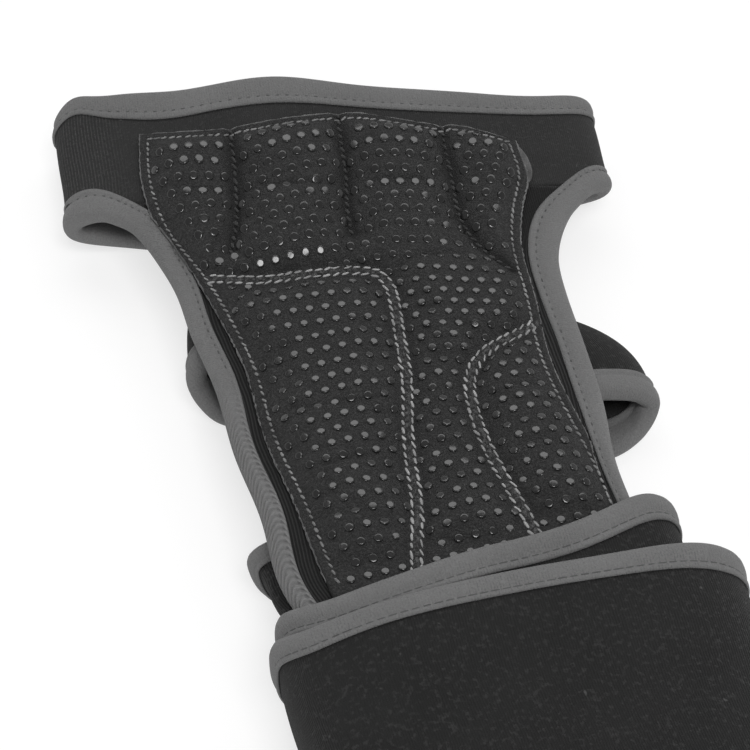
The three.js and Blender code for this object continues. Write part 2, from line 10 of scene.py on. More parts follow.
import bpy
import numpy as np
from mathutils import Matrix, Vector


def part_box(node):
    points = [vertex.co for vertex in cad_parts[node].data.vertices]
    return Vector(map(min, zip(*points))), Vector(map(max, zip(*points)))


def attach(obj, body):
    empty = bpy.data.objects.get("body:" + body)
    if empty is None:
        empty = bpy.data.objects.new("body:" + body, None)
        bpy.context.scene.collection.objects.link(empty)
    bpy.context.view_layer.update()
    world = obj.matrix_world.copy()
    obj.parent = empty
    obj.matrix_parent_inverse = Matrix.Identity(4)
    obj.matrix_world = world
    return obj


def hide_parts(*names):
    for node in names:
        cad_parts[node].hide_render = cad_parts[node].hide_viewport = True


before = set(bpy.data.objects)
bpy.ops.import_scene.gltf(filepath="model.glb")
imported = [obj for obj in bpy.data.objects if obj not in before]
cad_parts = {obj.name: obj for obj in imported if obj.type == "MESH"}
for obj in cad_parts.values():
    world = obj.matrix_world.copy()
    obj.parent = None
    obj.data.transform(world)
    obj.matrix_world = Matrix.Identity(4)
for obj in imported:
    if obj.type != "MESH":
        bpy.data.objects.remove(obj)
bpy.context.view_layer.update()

rng = np.random.default_rng(7)

# %% [markdown]
# The shapes are worked out in millimetres, from the same named sizes as the solids. A table of
# sections gives shares of those sizes, and a smooth curve is read through each of its columns.
# A cubic curve between the rows, with the mean of its two neighbours' slopes at each row, bends
# gently and never needs more rows than the form has folds.

# %% Named sizes, in millimetres
full_turn = 2 * math.pi
wall_neoprene, wall_suede, seam_gap = 2.2, 1.2, 0.3
tape_width, tape_thickness = 6.2, 0.5
floor_rise = 0.9

knuckle_half_width, knuckle_half_height = 55.3, 8.2
knuckle_height, knuckle_y, knuckle_x = 29.5, 49.5, 1.2
peak_rise, peak_x, peak_spread = 3.5, -8, 22
corner_rise, corner_share, corner_spread = 3.8, -0.93, 0.09

palm_length, palm_half_width, palm_top, palm_flat_width = 160, 40, 18.5, 96
palm_gap, palm_at_wrap, palm_at_corner = 0.04, 0.385, 0.975
patch_length, patch_half_width, patch_foot_y = 118, 38, -51
pad_rise = 2.4

strap_half_width, strap_width, strap_y, strap_x, strap_flare = 43, 30, 12, 10, 19
cuff_half_width, cuff_height, cuff_length = 35, 12.2, 81.5
cuff_top_y, cuff_x = -29, 7.6

wrist_half_width, wrist_half_height, wrist_squareness = 36, 9.6, 3
wrist_x, wrist_lean = 13.8, 0.105
wrap_height, wrap_top_y, wrap_taper, lap_pitch = 74, -44.5, 0.1, 4.3


# %% A smooth curve through a table's column
def table(columns, *rows):
    """A short table as one array for each named column."""
    values = np.array(rows, float)
    return {name: values[:, i] for i, name in enumerate(columns.split())}


def read(sections, column, at):
    """Cubic through a column: the rise is t*t*(3 - 2t), plus the slopes at both rows."""
    x, y = sections["at"], sections[column]
    step = np.diff(y) / np.diff(x)
    slope = np.concatenate([step[:1], (step[1:] + step[:-1]) / 2, step[-1:]])
    at = np.asarray(at, float)
    row = np.clip(np.searchsorted(x, at) - 1, 0, len(x) - 2)
    span = x[row + 1] - x[row]
    t = np.clip((at - x[row]) / span, 0, 1)
    lift = t * (1 - t) ** 2 * slope[row] - t * t * (1 - t) * slope[row + 1]
    return y[row] + (y[row + 1] - y[row]) * t * t * (3 - 2 * t) + lift * span


def squared(value, power):
    """A number raised to a power with its sign kept: it makes an oval's sides fuller."""
    return np.sign(value) * np.abs(value) ** power


def smooth(value, low, high):
    """0 below low, 1 above high, and t*t*(3 - 2t) between them."""
    t = np.clip((value - low) / (high - low), 0, 1)
    return t * t * (3 - 2 * t)


def mix(a, b, t):
    """A straight mix: a + (b - a) * t."""
    return a + (b - a) * t


def point(x, y, z):
    """Three coordinates joined into one array of points."""
    return np.stack(np.broadcast_arrays(x, y, z), -1).astype(float)


# %% Tables of the knuckle band, the palm and the patch
knuckle_edges = table(
    "at low high back",
    (-1.00, 0.200, 1.140, 0.09),
    (-0.80, 0.180, 1.220, 0.06),
    (-0.50, 0.095, 1.120, 0.03),
    (-0.15, 0.015, 1.065, 0.00),
    (0.15, -0.015, 0.960, 0.00),
    (0.50, -0.060, 0.850, 0.04),
    (0.80, -0.100, 0.770, 0.22),
    (1.00, -0.120, 0.800, 0.28),
)
band_share = knuckle_half_width / palm_half_width
front_sections = table(
    "at centre left right base rise",
    (0.00, 0.46, 0.90, 0.84, 0.62, 0.52),
    (0.20, 0.38, 0.93, 0.88, 0.62, 0.52),
    (0.38, 0.28, 0.88, 0.88, 0.61, 0.53),
    (0.50, 0.22, 1.02, 0.93, 0.56, 0.54),
    (0.65, 0.16, 1.10, 1.06, 0.50, 0.52),
    (0.82, 0.10, 1.20, 1.20, 0.49, 0.49),
    (1.00, knuckle_x / palm_half_width, band_share, band_share,
     (floor_rise + knuckle_half_height) / palm_top, knuckle_half_height / palm_top),
)
palm_outline = table(
    "at left right",
    (0.000, -0.190, 1.120),
    (0.200, -0.320, 1.070),
    (0.385, -0.490, 1.005),
    (0.430, -0.555, 0.985),
    (0.520, -0.585, 0.975),
    (0.620, -0.655, 0.990),
    (0.720, -0.722, 0.985),
    (0.800, -0.782, 0.965),
    (0.860, -0.820, 0.985),
    (0.910, -0.885, 1.040),
    (0.950, -0.955, 1.110),
    (0.980, -1.040, 1.190),
    (1.000, -0.810 * band_share, 0.904 * band_share),
)
patch_outline = table(
    "at left right",
    (0.00, -0.37, 1.00),
    (0.20, -0.47, 0.96),
    (0.38, -0.57, 0.86),
    (0.55, -0.65, 0.86),
    (0.68, -0.77, 0.88),
    (0.80, -0.93, 0.94),
    (0.90, -1.00, 1.01),
    (1.00, -0.97, 1.00),
)
patch_top = table(
    "at step",
    (-1.00, 0.046),
    (-0.55, 0.018),
    (-0.15, 0.022),
    (0.20, 0.022),
    (0.55, -0.010),
    (0.75, -0.025),
    (1.00, -0.070),
)
print("rows in the palm's outline:", len(palm_outline["at"]), "and the patch's:", len(patch_outline["at"]))

# %% Tables of the strap, the cuff and the wrap
strap_loop = table(
    "at across up wrist finger",
    (0.00, 0.46, 1.00, -0.55, 0.24),
    (0.06, 0.58, 0.86, -0.55, 0.26),
    (0.14, 0.78, 0.80, -0.54, 0.28),
    (0.21, 0.94, 0.64, -0.53, 0.30),
    (0.26, 1.00, 0.38, -0.54, 0.30),
    (0.32, 0.92, 0.08, -0.66, 0.30),
    (0.38, 0.74, 0.00, -0.76, 0.32),
    (0.50, 0.30, 0.00, -0.55, 0.45),
    (0.58, -0.04, 0.00, -0.43, 0.57),
    (0.64, -0.30, 0.00, -0.34, 0.66),
    (0.75, -0.74, 0.02, -0.20, 0.80),
    (0.80, -0.91, 0.14, -0.13, 0.84),
    (0.86, -1.00, 0.44, 0.04, 0.86),
    (0.91, -0.95, 0.76, 0.12, 0.86),
    (0.95, -0.82, 0.84, 0.13, 0.86),
    (1.00, -0.66, 1.00, 0.13, 0.86),
)
cuff_loop = table(
    "at across up step",
    (0.00, 0.56, 1.00, 0.00),
    (0.08, 0.68, 0.83, 0.00),
    (0.16, 0.82, 0.77, 0.00),
    (0.24, 0.88, 0.50, 0.00),
    (0.31, 0.84, 0.18, 0.02),
    (0.38, 0.74, 0.00, 0.03),
    (0.46, 0.36, 0.00, 0.05),
    (0.56, -0.36, 0.00, 0.05),
    (0.64, -0.74, 0.02, 0.03),
    (0.72, -0.915, 0.12, 0.00),
    (0.80, -0.975, 0.34, -0.034),
    (0.87, -0.960, 0.56, -0.042),
    (0.93, -0.835, 0.76, -0.034),
    (1.00, -0.60, 1.00, 0.00),
)
cuff_sections = table(
    "at wide foot slide",
    (0.00, 0.740, 0.64, 0.07),
    (0.45, 0.780, 0.64, 0.06),
    (0.78, 0.930, 0.66, 0.05),
    (0.86, 0.985, 0.50, 0.03),
    (0.93, 0.975, 0.30, 0.01),
    (1.00, 1.000, 0.10, 0.00),
)
wrap_winding = table(
    "at wide laps slide drop",
    (-90, 0.940, 0.00, 0.00, -0.05),
    (0, 0.890, 0.25, 0.00, 0.58),
    (45, 0.915, 0.36, 0.00, 0.74),
    (90, 0.960, 0.50, 0.00, -0.14),
    (135, 0.995, 0.62, 0.00, -0.54),
    (180, 1.065, 0.75, 0.00, -0.05),
    (215, 1.050, 0.85, 0.02, -0.60),
    (270, 1.085, 1.00, 0.20, -1.20),
    (360, 1.085, 1.25, 0.20, -1.76),
    (450, 1.130, 1.50, 0.25, -1.50),
    (500, 1.137, 1.64, 0.22, -1.54),
    (540, 1.140, 1.75, 0.20, -0.84),
    (562, 1.140, 1.81, 0.20, -0.84),
)
wound_from, wound_to = -90, 562
print("the wrap is wound", round((wound_to - wound_from) / 360, 2), "times round")

# %% [markdown]
# Each cloth is one function of two parameters that gives points in space: u runs along the cloth
# and v across it. The palm panel lies on a low vault, an oval whose width and height change from
# the wrist to the knuckles, and the patch lies on the same vault. The loops run round squared
# ovals. Because a tape asks the cloth's own function for its edge, the two can't come apart.

# %% The knuckle band and the palm as surfaces
def palm_foot_y(x):
    """The palm panel's lower edge: a straight line that leans with the wrist."""
    return knuckle_y - palm_length + wrist_lean * (x - wrist_x)


def band_edge(x, column):
    """One of the band's two edges: a share of its height, read along its half width."""
    share = np.clip((x - knuckle_x) / knuckle_half_width, -1, 1)
    return read(knuckle_edges, column, share) * knuckle_height


def band_low_y(x, back=0):
    """The band's wrist edge. Behind the hand, where back is 1, the table moves it."""
    return knuckle_y + band_edge(x, "low") + back * band_edge(x, "back")


def band_high_y(x, corner=0):
    """The band's finger edge. The corner is a bell-shaped rise near the little finger's end."""
    share = (x - knuckle_x) / knuckle_half_width
    bell = np.exp(-(((share - corner_share) / corner_spread) ** 2))
    return knuckle_y + band_edge(x, "high") + corner * bell


def band_crown(x, y):
    """A bell curve across the band, growing toward its finger edge."""
    share = np.clip((y - band_low_y(x)) / (band_high_y(x) - band_low_y(x)), 0, 1)
    return share * peak_rise * np.exp(-(((x - peak_x) / peak_spread) ** 2))


def palm_share(x, y):
    """How far up the palm a place lies: 0 at the lower edge and 1 at the knuckle band."""
    foot = palm_foot_y(x)
    return np.clip((y - foot) / (band_low_y(x) - foot), 0, 1)


def palm_side(side, at):
    """The palm's left or right side: a share of its half width."""
    return read(palm_outline, side, at) * palm_half_width


def front_height(x, y):
    """The vault: base + rise * (1 - share^3)^(1/3), the share running from its centre line."""
    at = palm_share(x, y)
    centre = read(front_sections, "centre", at) * palm_half_width
    left, right = (read(front_sections, side, at) for side in ("left", "right"))
    share = np.minimum(np.abs(x - centre) / (np.where(x < centre, left, right) * palm_half_width), 0.995)
    base, rise = (read(front_sections, name, at) * palm_top for name in ("base", "rise"))
    return base + rise * (1 - share**3) ** (1 / 3)


def palm_place(u, v):
    """The palm panel: u goes from side to side of the outline and v from the wrist to the band."""
    x = mix(palm_side("left", v), palm_side("right", v), u)
    y = mix(palm_foot_y(x), band_low_y(x) - palm_gap, v)
    return point(x, y, front_height(x, y))


def band_place(u, v, corner=corner_rise):
    """A squared oval: the powers 2/3 of the cosine and the sine of the angle u gives."""
    turn = u * full_turn
    x = knuckle_x + knuckle_half_width * squared(np.cos(turn), 2 / 3)
    back = smooth(-np.sin(turn), -1, 1)
    y = mix(band_high_y(x, corner), band_low_y(x, back), v)
    crown = np.where(np.sin(turn) > 0, band_crown(x, y), 0)
    z = floor_rise + knuckle_half_height * (1 + squared(np.sin(turn), 2 / 3)) + crown
    return point(x, y, z)


def band_turn(x):
    """The place round the band, on its palm side, that lies over a given x."""
    return np.arccos(squared((x - knuckle_x) / knuckle_half_width, 1.5)) / full_turn


for place, at in (("wrap", palm_at_wrap), ("knuckle band", 1.0)):
    width = palm_side("right", at) - palm_side("left", at)
    print("palm width at the", place, "in mm:", round(float(width), 1))


# %% The strap, the cuff and the wrap as surfaces
def under_palm(x, y):
    """The height just under the palm panel, where the strap and the cuff are sewn to it."""
    at = palm_share(x, y)
    near = np.clip(x, palm_side("left", at) + tape_width, palm_side("right", at) - tape_width)
    return front_height(near, y) - wall_neoprene - seam_gap


def strap_place(u, v):
    """The hand strap: a table's path, pulled in toward the fingers by v to the power 3."""
    across = read(strap_loop, "across", u)
    pull = strap_flare * squared(v, 3) * np.where(across > 0, across, across / 5)
    x = strap_x + strap_half_width * across - pull
    edges = [read(strap_loop, name, u) * strap_width for name in ("wrist", "finger")]
    y = strap_y + mix(*edges, v)
    return point(x, y, mix(floor_rise, under_palm(x, y), read(strap_loop, "up", u)))


def cuff_place(u, v):
    """The cuff: one table gives its section, another how that closes up under the wrap."""
    across = read(cuff_loop, "across", u)
    wide, slide = (read(cuff_sections, name, v) * cuff_half_width for name in ("wide", "slide"))
    lower = (1 - v) * cuff_length
    step = read(cuff_loop, "step", u) * cuff_length * v
    x = cuff_x + slide + wide * across + wrist_lean * lower
    y = cuff_top_y + wrist_lean * wide * across - step - lower
    foot = floor_rise + read(cuff_sections, "foot", v) * cuff_height
    return point(x, y, mix(foot, under_palm(x, y), read(cuff_loop, "up", u)))


def wrap_place(u, v):
    """The wrap: u degrees round a squared oval that grows by one strap pitch each lap."""
    turn = np.radians(u)
    lower = v * wrap_height
    wide = read(wrap_winding, "wide", u) * wrist_half_width * (1 - wrap_taper * v)
    high = wrist_half_height + read(wrap_winding, "laps", u) * lap_pitch
    across = wide * squared(np.cos(turn), 2 / wrist_squareness)
    slide, drop = (read(wrap_winding, name, u) * tape_width for name in ("slide", "drop"))
    x = wrist_x + slide + across + wrist_lean * lower
    y = wrap_top_y + drop + wrist_lean * across - lower
    middle = floor_rise + wrist_half_height + lap_pitch
    return point(x, y, middle + high * squared(np.sin(turn), 2 / wrist_squareness))


# %% Directions and lengths on a grid of points
def unit(vectors):
    """Vectors divided by their own lengths."""
    return vectors / np.maximum(np.linalg.norm(vectors, axis=-1, keepdims=True), 1e-12)


def normals_of(grid, closed=False):
    """Unit normals of a grid of points: the cross product of its steps along and across."""
    if closed:
        padded = np.concatenate([grid[:, -1:], grid, grid[:, :1]], 1)
        along = (padded[:, 2:] - padded[:, :-2]) / 2
    else:
        along = np.gradient(grid, axis=1)
    return unit(np.cross(along, np.gradient(grid, axis=0)))


def upward_normals(grid):
    """The normals of an open grid, each turned so that it points up."""
    normals = normals_of(grid)
    return normals * np.sign(normals[..., 2:])


def run_along(line):
    """The length from a line's start to each of its points: the sum of the steps before it."""
    return np.concatenate([[0], np.cumsum(np.linalg.norm(np.diff(line, axis=0), axis=1))])


def evenly(surface, start, stop, count, at=0.5):
    """Values of u an even length apart, measured along the cloth at one v."""
    dense = np.linspace(start, stop, 6000)
    length = run_along(surface(dense, np.full_like(dense, at)))
    return np.interp(np.linspace(0, length[-1], count), length, dense), length[-1]


# %% [markdown]
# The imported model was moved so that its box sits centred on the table. The knuckle band's solid is
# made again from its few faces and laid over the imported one, which gives that move exactly. A slow
# wave is then added to every point, because real cloth is never ruler-straight.

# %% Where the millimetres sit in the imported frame
def coarse_band():
    """The band's solid made again from its own few faces, to find how the frame was centred."""
    steps = (np.arange(42) + 0.5) / 42
    lip = tape_width / knuckle_height
    u, v = np.meshgrid(steps, [0, lip, 1 - lip, 1])
    outer = band_place(u, v, 0)
    nudge = 1e-3
    along = band_place(u + nudge, v, 0) - band_place(u - nudge, v, 0)
    across = band_place(u, v + nudge, 0) - band_place(u, v - nudge, 0)
    inner = outer - wall_neoprene * unit(np.cross(along, across))
    return np.concatenate([outer.reshape(-1, 3), inner.reshape(-1, 3)])


own = coarse_band()
packed = np.array([tuple(corner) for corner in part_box("knuckle_band")]) * 1000
shift = packed.mean(0) - (own.min(0) + own.max(0)) / 2
print("millimetres to frame:", shift.round(3))
print("size differs by", (np.ptp(packed, 0) - np.ptp(own, 0)).round(4))


def soften(points):
    """Sums of two sines on each axis, half a millimetre at most, so that nothing is ruler-straight.
    They fade out near the surface that the glove lies on."""
    x, y, z = points[..., 0], points[..., 1], points[..., 2]
    fade = smooth(z, 1, 9)
    wave_x = 0.30 * np.sin(y / 9.0 + 0.7) + 0.18 * np.sin(y / 4.3 + x / 21 + 2.1)
    wave_y = 0.25 * np.sin(x / 11.0 + 1.9) + 0.15 * np.sin(x / 5.1 + y / 30)
    wave_z = 0.35 * np.sin(x / 12.0 + y / 17.0) + 0.18 * np.sin(x / 6.1 - y / 8.7 + 1.0)
    return points + np.stack([wave_x * fade, wave_y * fade, wave_z * fade], -1)


def to_frame(points):
    """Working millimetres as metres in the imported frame."""
    return (soften(points) + shift) / 1000


# %% [markdown]
# The camera stands where the photo was taken from: a little to the little finger's side and 50
# degrees above the table, aimed at the palm, and close enough that the wrist runs out of view.

# %% Camera
view_azimuth, view_elevation, view_distance = math.radians(-9), math.radians(50), 0.380
focal_pixels, frame_pixels, sensor_mm = 2090, 750, 36
aim = Vector((np.array([0, 0, 20]) + shift) / 1000)
away = Vector((
    math.sin(view_azimuth) * math.cos(view_elevation),
    -math.cos(view_azimuth) * math.cos(view_elevation),
    math.sin(view_elevation),
))
lens = bpy.data.cameras.new("camera")
lens.sensor_width = sensor_mm
lens.lens = focal_pixels / frame_pixels * sensor_mm
lens.clip_start, lens.clip_end = 0.01, 20
camera = bpy.data.objects.new("camera", lens)
camera.location = aim + away * view_distance
camera.rotation_mode = "QUATERNION"
camera.rotation_quaternion = (-away).to_track_quat("-Z", "Y")
bpy.context.scene.collection.objects.link(camera)
bpy.context.scene.camera = camera
print("lens", round(lens.lens, 1), "mm")

# %% [markdown]
# Every new piece is a closed shell of quads: an outer grid of points, an inner grid, and rims that
# join them. One function makes them all, so faces, shading and the cloth's own map are always
# made the same way. The map holds real metres along and across the cloth, which is what ribs and
# weave follow when the cloth bends.

# %% Meshes from grids
def grid_lengths(outer, closed):
    """How far along and across the cloth each column and row lies, by its middle line."""
    rows, columns = outer.shape[:2]
    row = outer[rows // 2]
    if closed:
        row = np.concatenate([row, row[:1]])
    column = outer[:, columns // 2]
    return run_along(row), run_along(column)


def mesh_piece(name, points, faces, spots, material):
    """An object from points in millimetres, quads and one map place for each face corner."""
    mesh = bpy.data.meshes.new(name)
    place = to_frame(points)
    a, b, c, d = (place[faces[:, i]] for i in range(4))
    volume = (a * (np.cross(b, c) + np.cross(c, d))).sum()
    if volume < 0:
        faces, spots = faces[:, ::-1], spots[:, ::-1]
    mesh.vertices.add(len(place))
    mesh.vertices.foreach_set("co", place.astype(np.float32).ravel())
    mesh.loops.add(faces.size)
    mesh.loops.foreach_set("vertex_index", faces.astype(np.int32).ravel())
    mesh.polygons.add(len(faces))
    mesh.polygons.foreach_set("loop_start", np.arange(0, faces.size, 4, dtype=np.int32))
    mesh.polygons.foreach_set("use_smooth", np.ones(len(faces), bool))
    cloth_map = mesh.uv_layers.new(name="cloth")
    cloth_map.data.foreach_set("uv", (spots / 1000).astype(np.float32).ravel())
    mesh.update(calc_edges=True)
    mesh.validate()
    mesh.materials.append(material)
    piece = bpy.data.objects.new(name, mesh)
    bpy.context.scene.collection.objects.link(piece)
    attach(piece, "root")
    print(name, "quads:", len(faces), "volume in cm3:", round(abs(volume) / 6 * 1e6, 2))
    return piece


def shell(name, outer, inner, material, slot, closed=False):
    """A wall between two grids. A closed wall's last column meets its first."""
    rows, columns = outer.shape[:2]
    reach = columns if closed else columns - 1
    under = rows * columns
    along, across = grid_lengths(outer, closed)
    r, c = (g.ravel() for g in np.meshgrid(np.arange(rows - 1), np.arange(reach), indexing="ij"))
    quads = [(r, c, 0), (r, c + 1, 0), (r + 1, c + 1, 0), (r + 1, c, 0)]
    parts = [quads, [(rr, cc, under) for rr, cc, _ in quads[::-1]]]
    c = np.arange(reach)
    foot, head = np.zeros_like(c), np.full_like(c, rows - 1)
    parts.append([(foot, c + 1, 0), (foot, c, 0), (foot, c, under), (foot, c + 1, under)])
    parts.append([(head, c, 0), (head, c + 1, 0), (head, c + 1, under), (head, c, under)])
    if not closed:
        r = np.arange(rows - 1)
        left, right = np.zeros_like(r), np.full_like(r, columns - 1)
        parts.append([(r, left, 0), (r + 1, left, 0), (r + 1, left, under), (r, left, under)])
        parts.append([(r + 1, right, 0), (r, right, 0), (r, right, under), (r + 1, right, under)])
    faces, spots = [], []
    for corners in parts:
        faces.append(np.stack([rr * columns + cc % columns + side for rr, cc, side in corners], -1))
        spots.append(np.stack([np.stack([along[cc], across[rr]], -1) for rr, cc, _ in corners], 1))
    points = np.concatenate([outer.reshape(-1, 3), inner.reshape(-1, 3)])
    return mesh_piece(name, points, np.concatenate(faces), np.concatenate(spots), material)


def neoprene_cloth(name, surface, u, v, material, closed=False):
    """A sheet of neoprene's thickness under a surface sampled at u and v."""
    outer = surface(*np.meshgrid(u, v))
    inner = outer - wall_neoprene * normals_of(outer, closed)
    return shell(name, outer, inner, material, "neoprene", closed)


# %% [markdown]
# Finishes are node materials. A small class wraps a node's socket so that shader maths reads like
# Python: adding or multiplying two of them adds a Math node. Every other node comes from one
# method that sets the node first and then its sockets.

# %% Shader maths as expressions
class Value:
    """A number that varies over a surface: a socket with Python's operators."""

    def __init__(self, shader, socket):
        self.shader, self.socket = shader, socket

    def math(self, operation, *values):
        """The result of one Math node on some values."""
        return self.shader.node("ShaderNodeMath", {"operation": operation}, values)(0)

    def __add__(self, other):
        return self.math("ADD", self, other)

    def __radd__(self, other):
        return self.math("ADD", other, self)

    def __sub__(self, other):
        return self.math("SUBTRACT", self, other)

    def __rsub__(self, other):
        return self.math("SUBTRACT", other, self)

    def __mul__(self, other):
        return self.math("MULTIPLY", self, other)

    def __rmul__(self, other):
        return self.math("MULTIPLY", other, self)

    def ribs(self, pitch):
        """A sine of the length that this value holds: one crest for each pitch, in metres."""
        return self.math("SINE", self * (full_turn / pitch))


class Shader:
    """One material's nodes, ending in a Principled shader."""

    def __init__(self, name, **constants):
        self.material = bpy.data.materials.new(name)
        self.material.use_nodes = True
        self.tree = self.material.node_tree
        self.principled = self.tree.nodes["Principled BSDF"]
        for socket, value in constants.items():
            self.principled.inputs[socket.replace("_", " ")].default_value = value
        self.place = self.node("ShaderNodeTexCoord")("Object")

    def node(self, kind, settings=None, sockets=()):
        """Adds a node: its settings first, then its sockets by position or by name."""
        node = self.tree.nodes.new(kind)
        for name, value in (settings or {}).items():
            setattr(node, name, value)
        pairs = sockets.items() if isinstance(sockets, dict) else enumerate(sockets)
        for key, value in pairs:
            if isinstance(value, Value):
                self.tree.links.new(value.socket, node.inputs[key])
            else:
                node.inputs[key].default_value = value
        return lambda output: Value(self, node.outputs[output])

    def noise(self, scale, detail=2.0, roughness=0.5):
        """Noise from 0 to 1 through all of space, with about as many cells a metre as its scale."""
        values = {"Vector": self.place, "Scale": scale, "Detail": detail, "Roughness": roughness}
        return self.node("ShaderNodeTexNoise", sockets=values)(0)

    def blend(self, factor, low, high):
        """Mixes two tones by a factor, each a grey number or a blend made before."""
        low, high = (tone if isinstance(tone, Value) else (tone, tone, tone, 1) for tone in (low, high))
        values = {0: factor, 6: low, 7: high}
        return self.node("ShaderNodeMix", {"data_type": "RGBA"}, values)(2)

    def ramp(self, value, low, high):
        """0 below low, 1 above high and smooth between."""
        settings = {"interpolation_type": "SMOOTHSTEP"}
        return self.node("ShaderNodeMapRange", settings, {0: value, 1: low, 2: high, 3: 0.0, 4: 1.0})(0)

    def attribute(self, name):
        """A number kept at the mesh's own points."""
        return self.node("ShaderNodeAttribute", {"attribute_name": name})(2)

    def cloth(self):
        """Metres along and across the cloth, from its own map."""
        spot = self.node("ShaderNodeUVMap", {"uv_map": "cloth"})(0)
        parts = self.node("ShaderNodeSeparateXYZ", sockets=[spot])
        return parts(0), parts(1)

    def axes(self):
        """Metres along x, y and z in the frame."""
        parts = self.node("ShaderNodeSeparateXYZ", sockets=[self.place])
        return parts(0), parts(1), parts(2)

    def bump(self, height, distance, strength=1.0):
        """Lets a height tip the surface. The distance, in metres, is what a height of 1 means."""
        values = {"Height": height, "Distance": distance, "Strength": strength}
        self.feed(Normal=self.node("ShaderNodeBump", sockets=values)(0))

    def feed(self, **links):
        """Links values to sockets of the Principled shader."""
        for socket, value in links.items():
            self.tree.links.new(value.socket, self.principled.inputs[socket.replace("_", " ")])


# %% [markdown]
# Neoprene here is foam rubber faced with a thin black knit. Close up it is a field of fine ribs
# with a short fuzz that has begun to pill, and pale specks of lint sit on it. The ribs run across
# each strap, and they open where the band is stretched round the little finger's side.

# %% Neoprene and the rib knit
wale_pitch, open_rib_pitch, cord_pitch = 0.00045, 0.00068, 0.00058


def make_neoprene(name, open_ribs=False):
    """Ribs across the strap, fuzz, pills and lint. The ribs open where x is past -40 mm."""
    s = Shader(name, Sheen_Weight=0.05, Sheen_Roughness=0.5, Specular_IOR_Level=0.12)
    along = s.cloth()[0]
    fuzz = s.noise(2600.0, 3.0, 0.65)
    pills = s.ramp(s.noise(1150.0, 2.0, 0.55), 0.50, 0.74)
    cloud = s.noise(90.0, 3.0, 0.6)
    specks = s.ramp(s.noise(620.0, 1.0, 0.4), 0.75, 0.83)
    wales = (along + s.noise(300.0) * 0.0003).ribs(wale_pitch)
    dark, pale = (0.018, 0.042) if open_ribs else (0.012, 0.027)
    tone = s.blend(cloud * 0.5 + fuzz * 0.5, dark, pale)
    tone = s.blend(pills * 0.6, tone, 0.046)
    height = fuzz * 0.5 + pills * 0.5 + wales * 0.22
    if open_ribs:
        stretched = s.ramp(s.axes()[0], -0.040, -0.049)
        ribs = (along + s.noise(150.0) * 0.0004).ribs(open_rib_pitch)
        grooves = s.ramp(ribs, 0.0, 0.95) * s.ramp(s.noise(1500.0), 0.2, 0.7)
        tone = s.blend(grooves * stretched * 0.75, tone, 0.085)
        height = height + grooves * stretched * 1.2
    tone = s.blend(specks * 0.7, tone, 0.10)
    s.feed(Base_Color=tone, Roughness=s.blend(fuzz, 0.85, 1.0))
    s.bump(height, 0.00025, 0.9)
    return s.material


neoprene = make_neoprene("neoprene_knit")
band_neoprene = make_neoprene("neoprene_stretched", open_ribs=True)


def make_ribbed():
    """The palm panel's rib knit: cords that run with the strip, which gathers pull out of line."""
    s = Shader("rib_knit", Sheen_Weight=0.04, Specular_IOR_Level=0.12)
    along = s.cloth()[0]
    x, y = s.axes()[:2]
    narrow = s.ramp(y, 0.062, 0.042)
    wander = s.noise(70.0, 2.0) * 0.0010
    cords = s.ramp((along + wander).ribs(cord_pitch), -0.5, 0.9) * narrow
    wales = (x + s.noise(300.0) * 0.0003).ribs(wale_pitch)
    fine = s.noise(2400.0, 2.0, 0.6)
    tone = s.blend(cords * 0.60 + fine * 0.40, 0.008, 0.040)
    s.feed(Base_Color=tone, Roughness=s.blend(fine, 0.85, 0.95))
    s.bump(cords + fine * 0.4 + wales * 0.2 * (1 - narrow), 0.00035, 0.9)
    return s.material


rib_knit = make_ribbed()
print("neoprene and rib knit nodes:", len(neoprene.node_tree.nodes), len(rib_knit.node_tree.nodes))

# %% [markdown]
# The binding is a knitted stretch tape. Its threads cross the tape, so it shows faint lines across
# it, broken into little dark flecks where the knit opens, and a soft heather from thread to
# thread.


# %% Knitted tape
thread_pitch, gather_pitch = 0.00052, 0.00145


def make_tape(name, gathered=False):
    """Gathered tape has bowed ridges where it is drawn in, down the little finger's side; painted light
    lifts that stretch and painted shade darkens its ridge valleys.
    """
    s = Shader(name, Sheen_Weight=0.10, Sheen_Roughness=0.4, Specular_IOR_Level=0.12)
    along, across = s.cloth()
    wobble = s.noise(400.0) * 0.0003
    ribs = (along + wobble).ribs(thread_pitch)
    flecks = s.noise(3400.0, 2.0, 0.7)
    cloud = s.noise(60.0, 2.0)
    opened = s.ramp(s.noise(38.0, 2.0), 0.50, 0.66)
    flecks = s.ramp(flecks, 0.34, 0.68)
    tone = s.blend(flecks * 0.45 + cloud * 0.55, 0.135, 0.205)
    lines = s.ramp(ribs, 0.1, 0.9) * s.ramp(s.noise(2100.0, 1.0), 0.42, 0.60)
    tone = s.blend(lines * (opened * (0.50 if gathered else 0.20) + 0.12), tone, 0.055)
    height = flecks * 0.6 - lines * 0.5
    if gathered:
        x, y = s.axes()[:2]
        drawn = s.ramp(y, 0.030, 0.008) * s.ramp(x, 0.0, -0.010)
        bow = (across - 0.0028) * (across - 0.0028) * 170.0
        uneven = s.noise(200.0, 1.0) * 0.0007
        ridges = (along + bow + uneven).ribs(gather_pitch)
        height = height + ridges * drawn * s.ramp(across, 0.0006, 0.0014) * 2.4
        # Painted light: the drawn stretch of tape is made paler in its colour.
        tone = s.blend(drawn * 0.40, tone, 0.27)
        # Painted shade: the valleys between the gathered ridges are darkened in the colour.
        tone = s.blend(s.ramp(ridges, 0.1, -0.95) * drawn * 0.34, tone, 0.085)
    s.feed(Base_Color=tone, Roughness=s.blend(flecks, 0.85, 1.0))
    s.bump(height, 0.00014, 0.8)
    return s.material


knit_tape = make_tape("knit_tape")
gathered_tape = make_tape("gathered_tape", gathered=True)
print("tape nodes:", len(knit_tape.node_tree.nodes), "and gathered:", len(gathered_tape.node_tree.nodes))
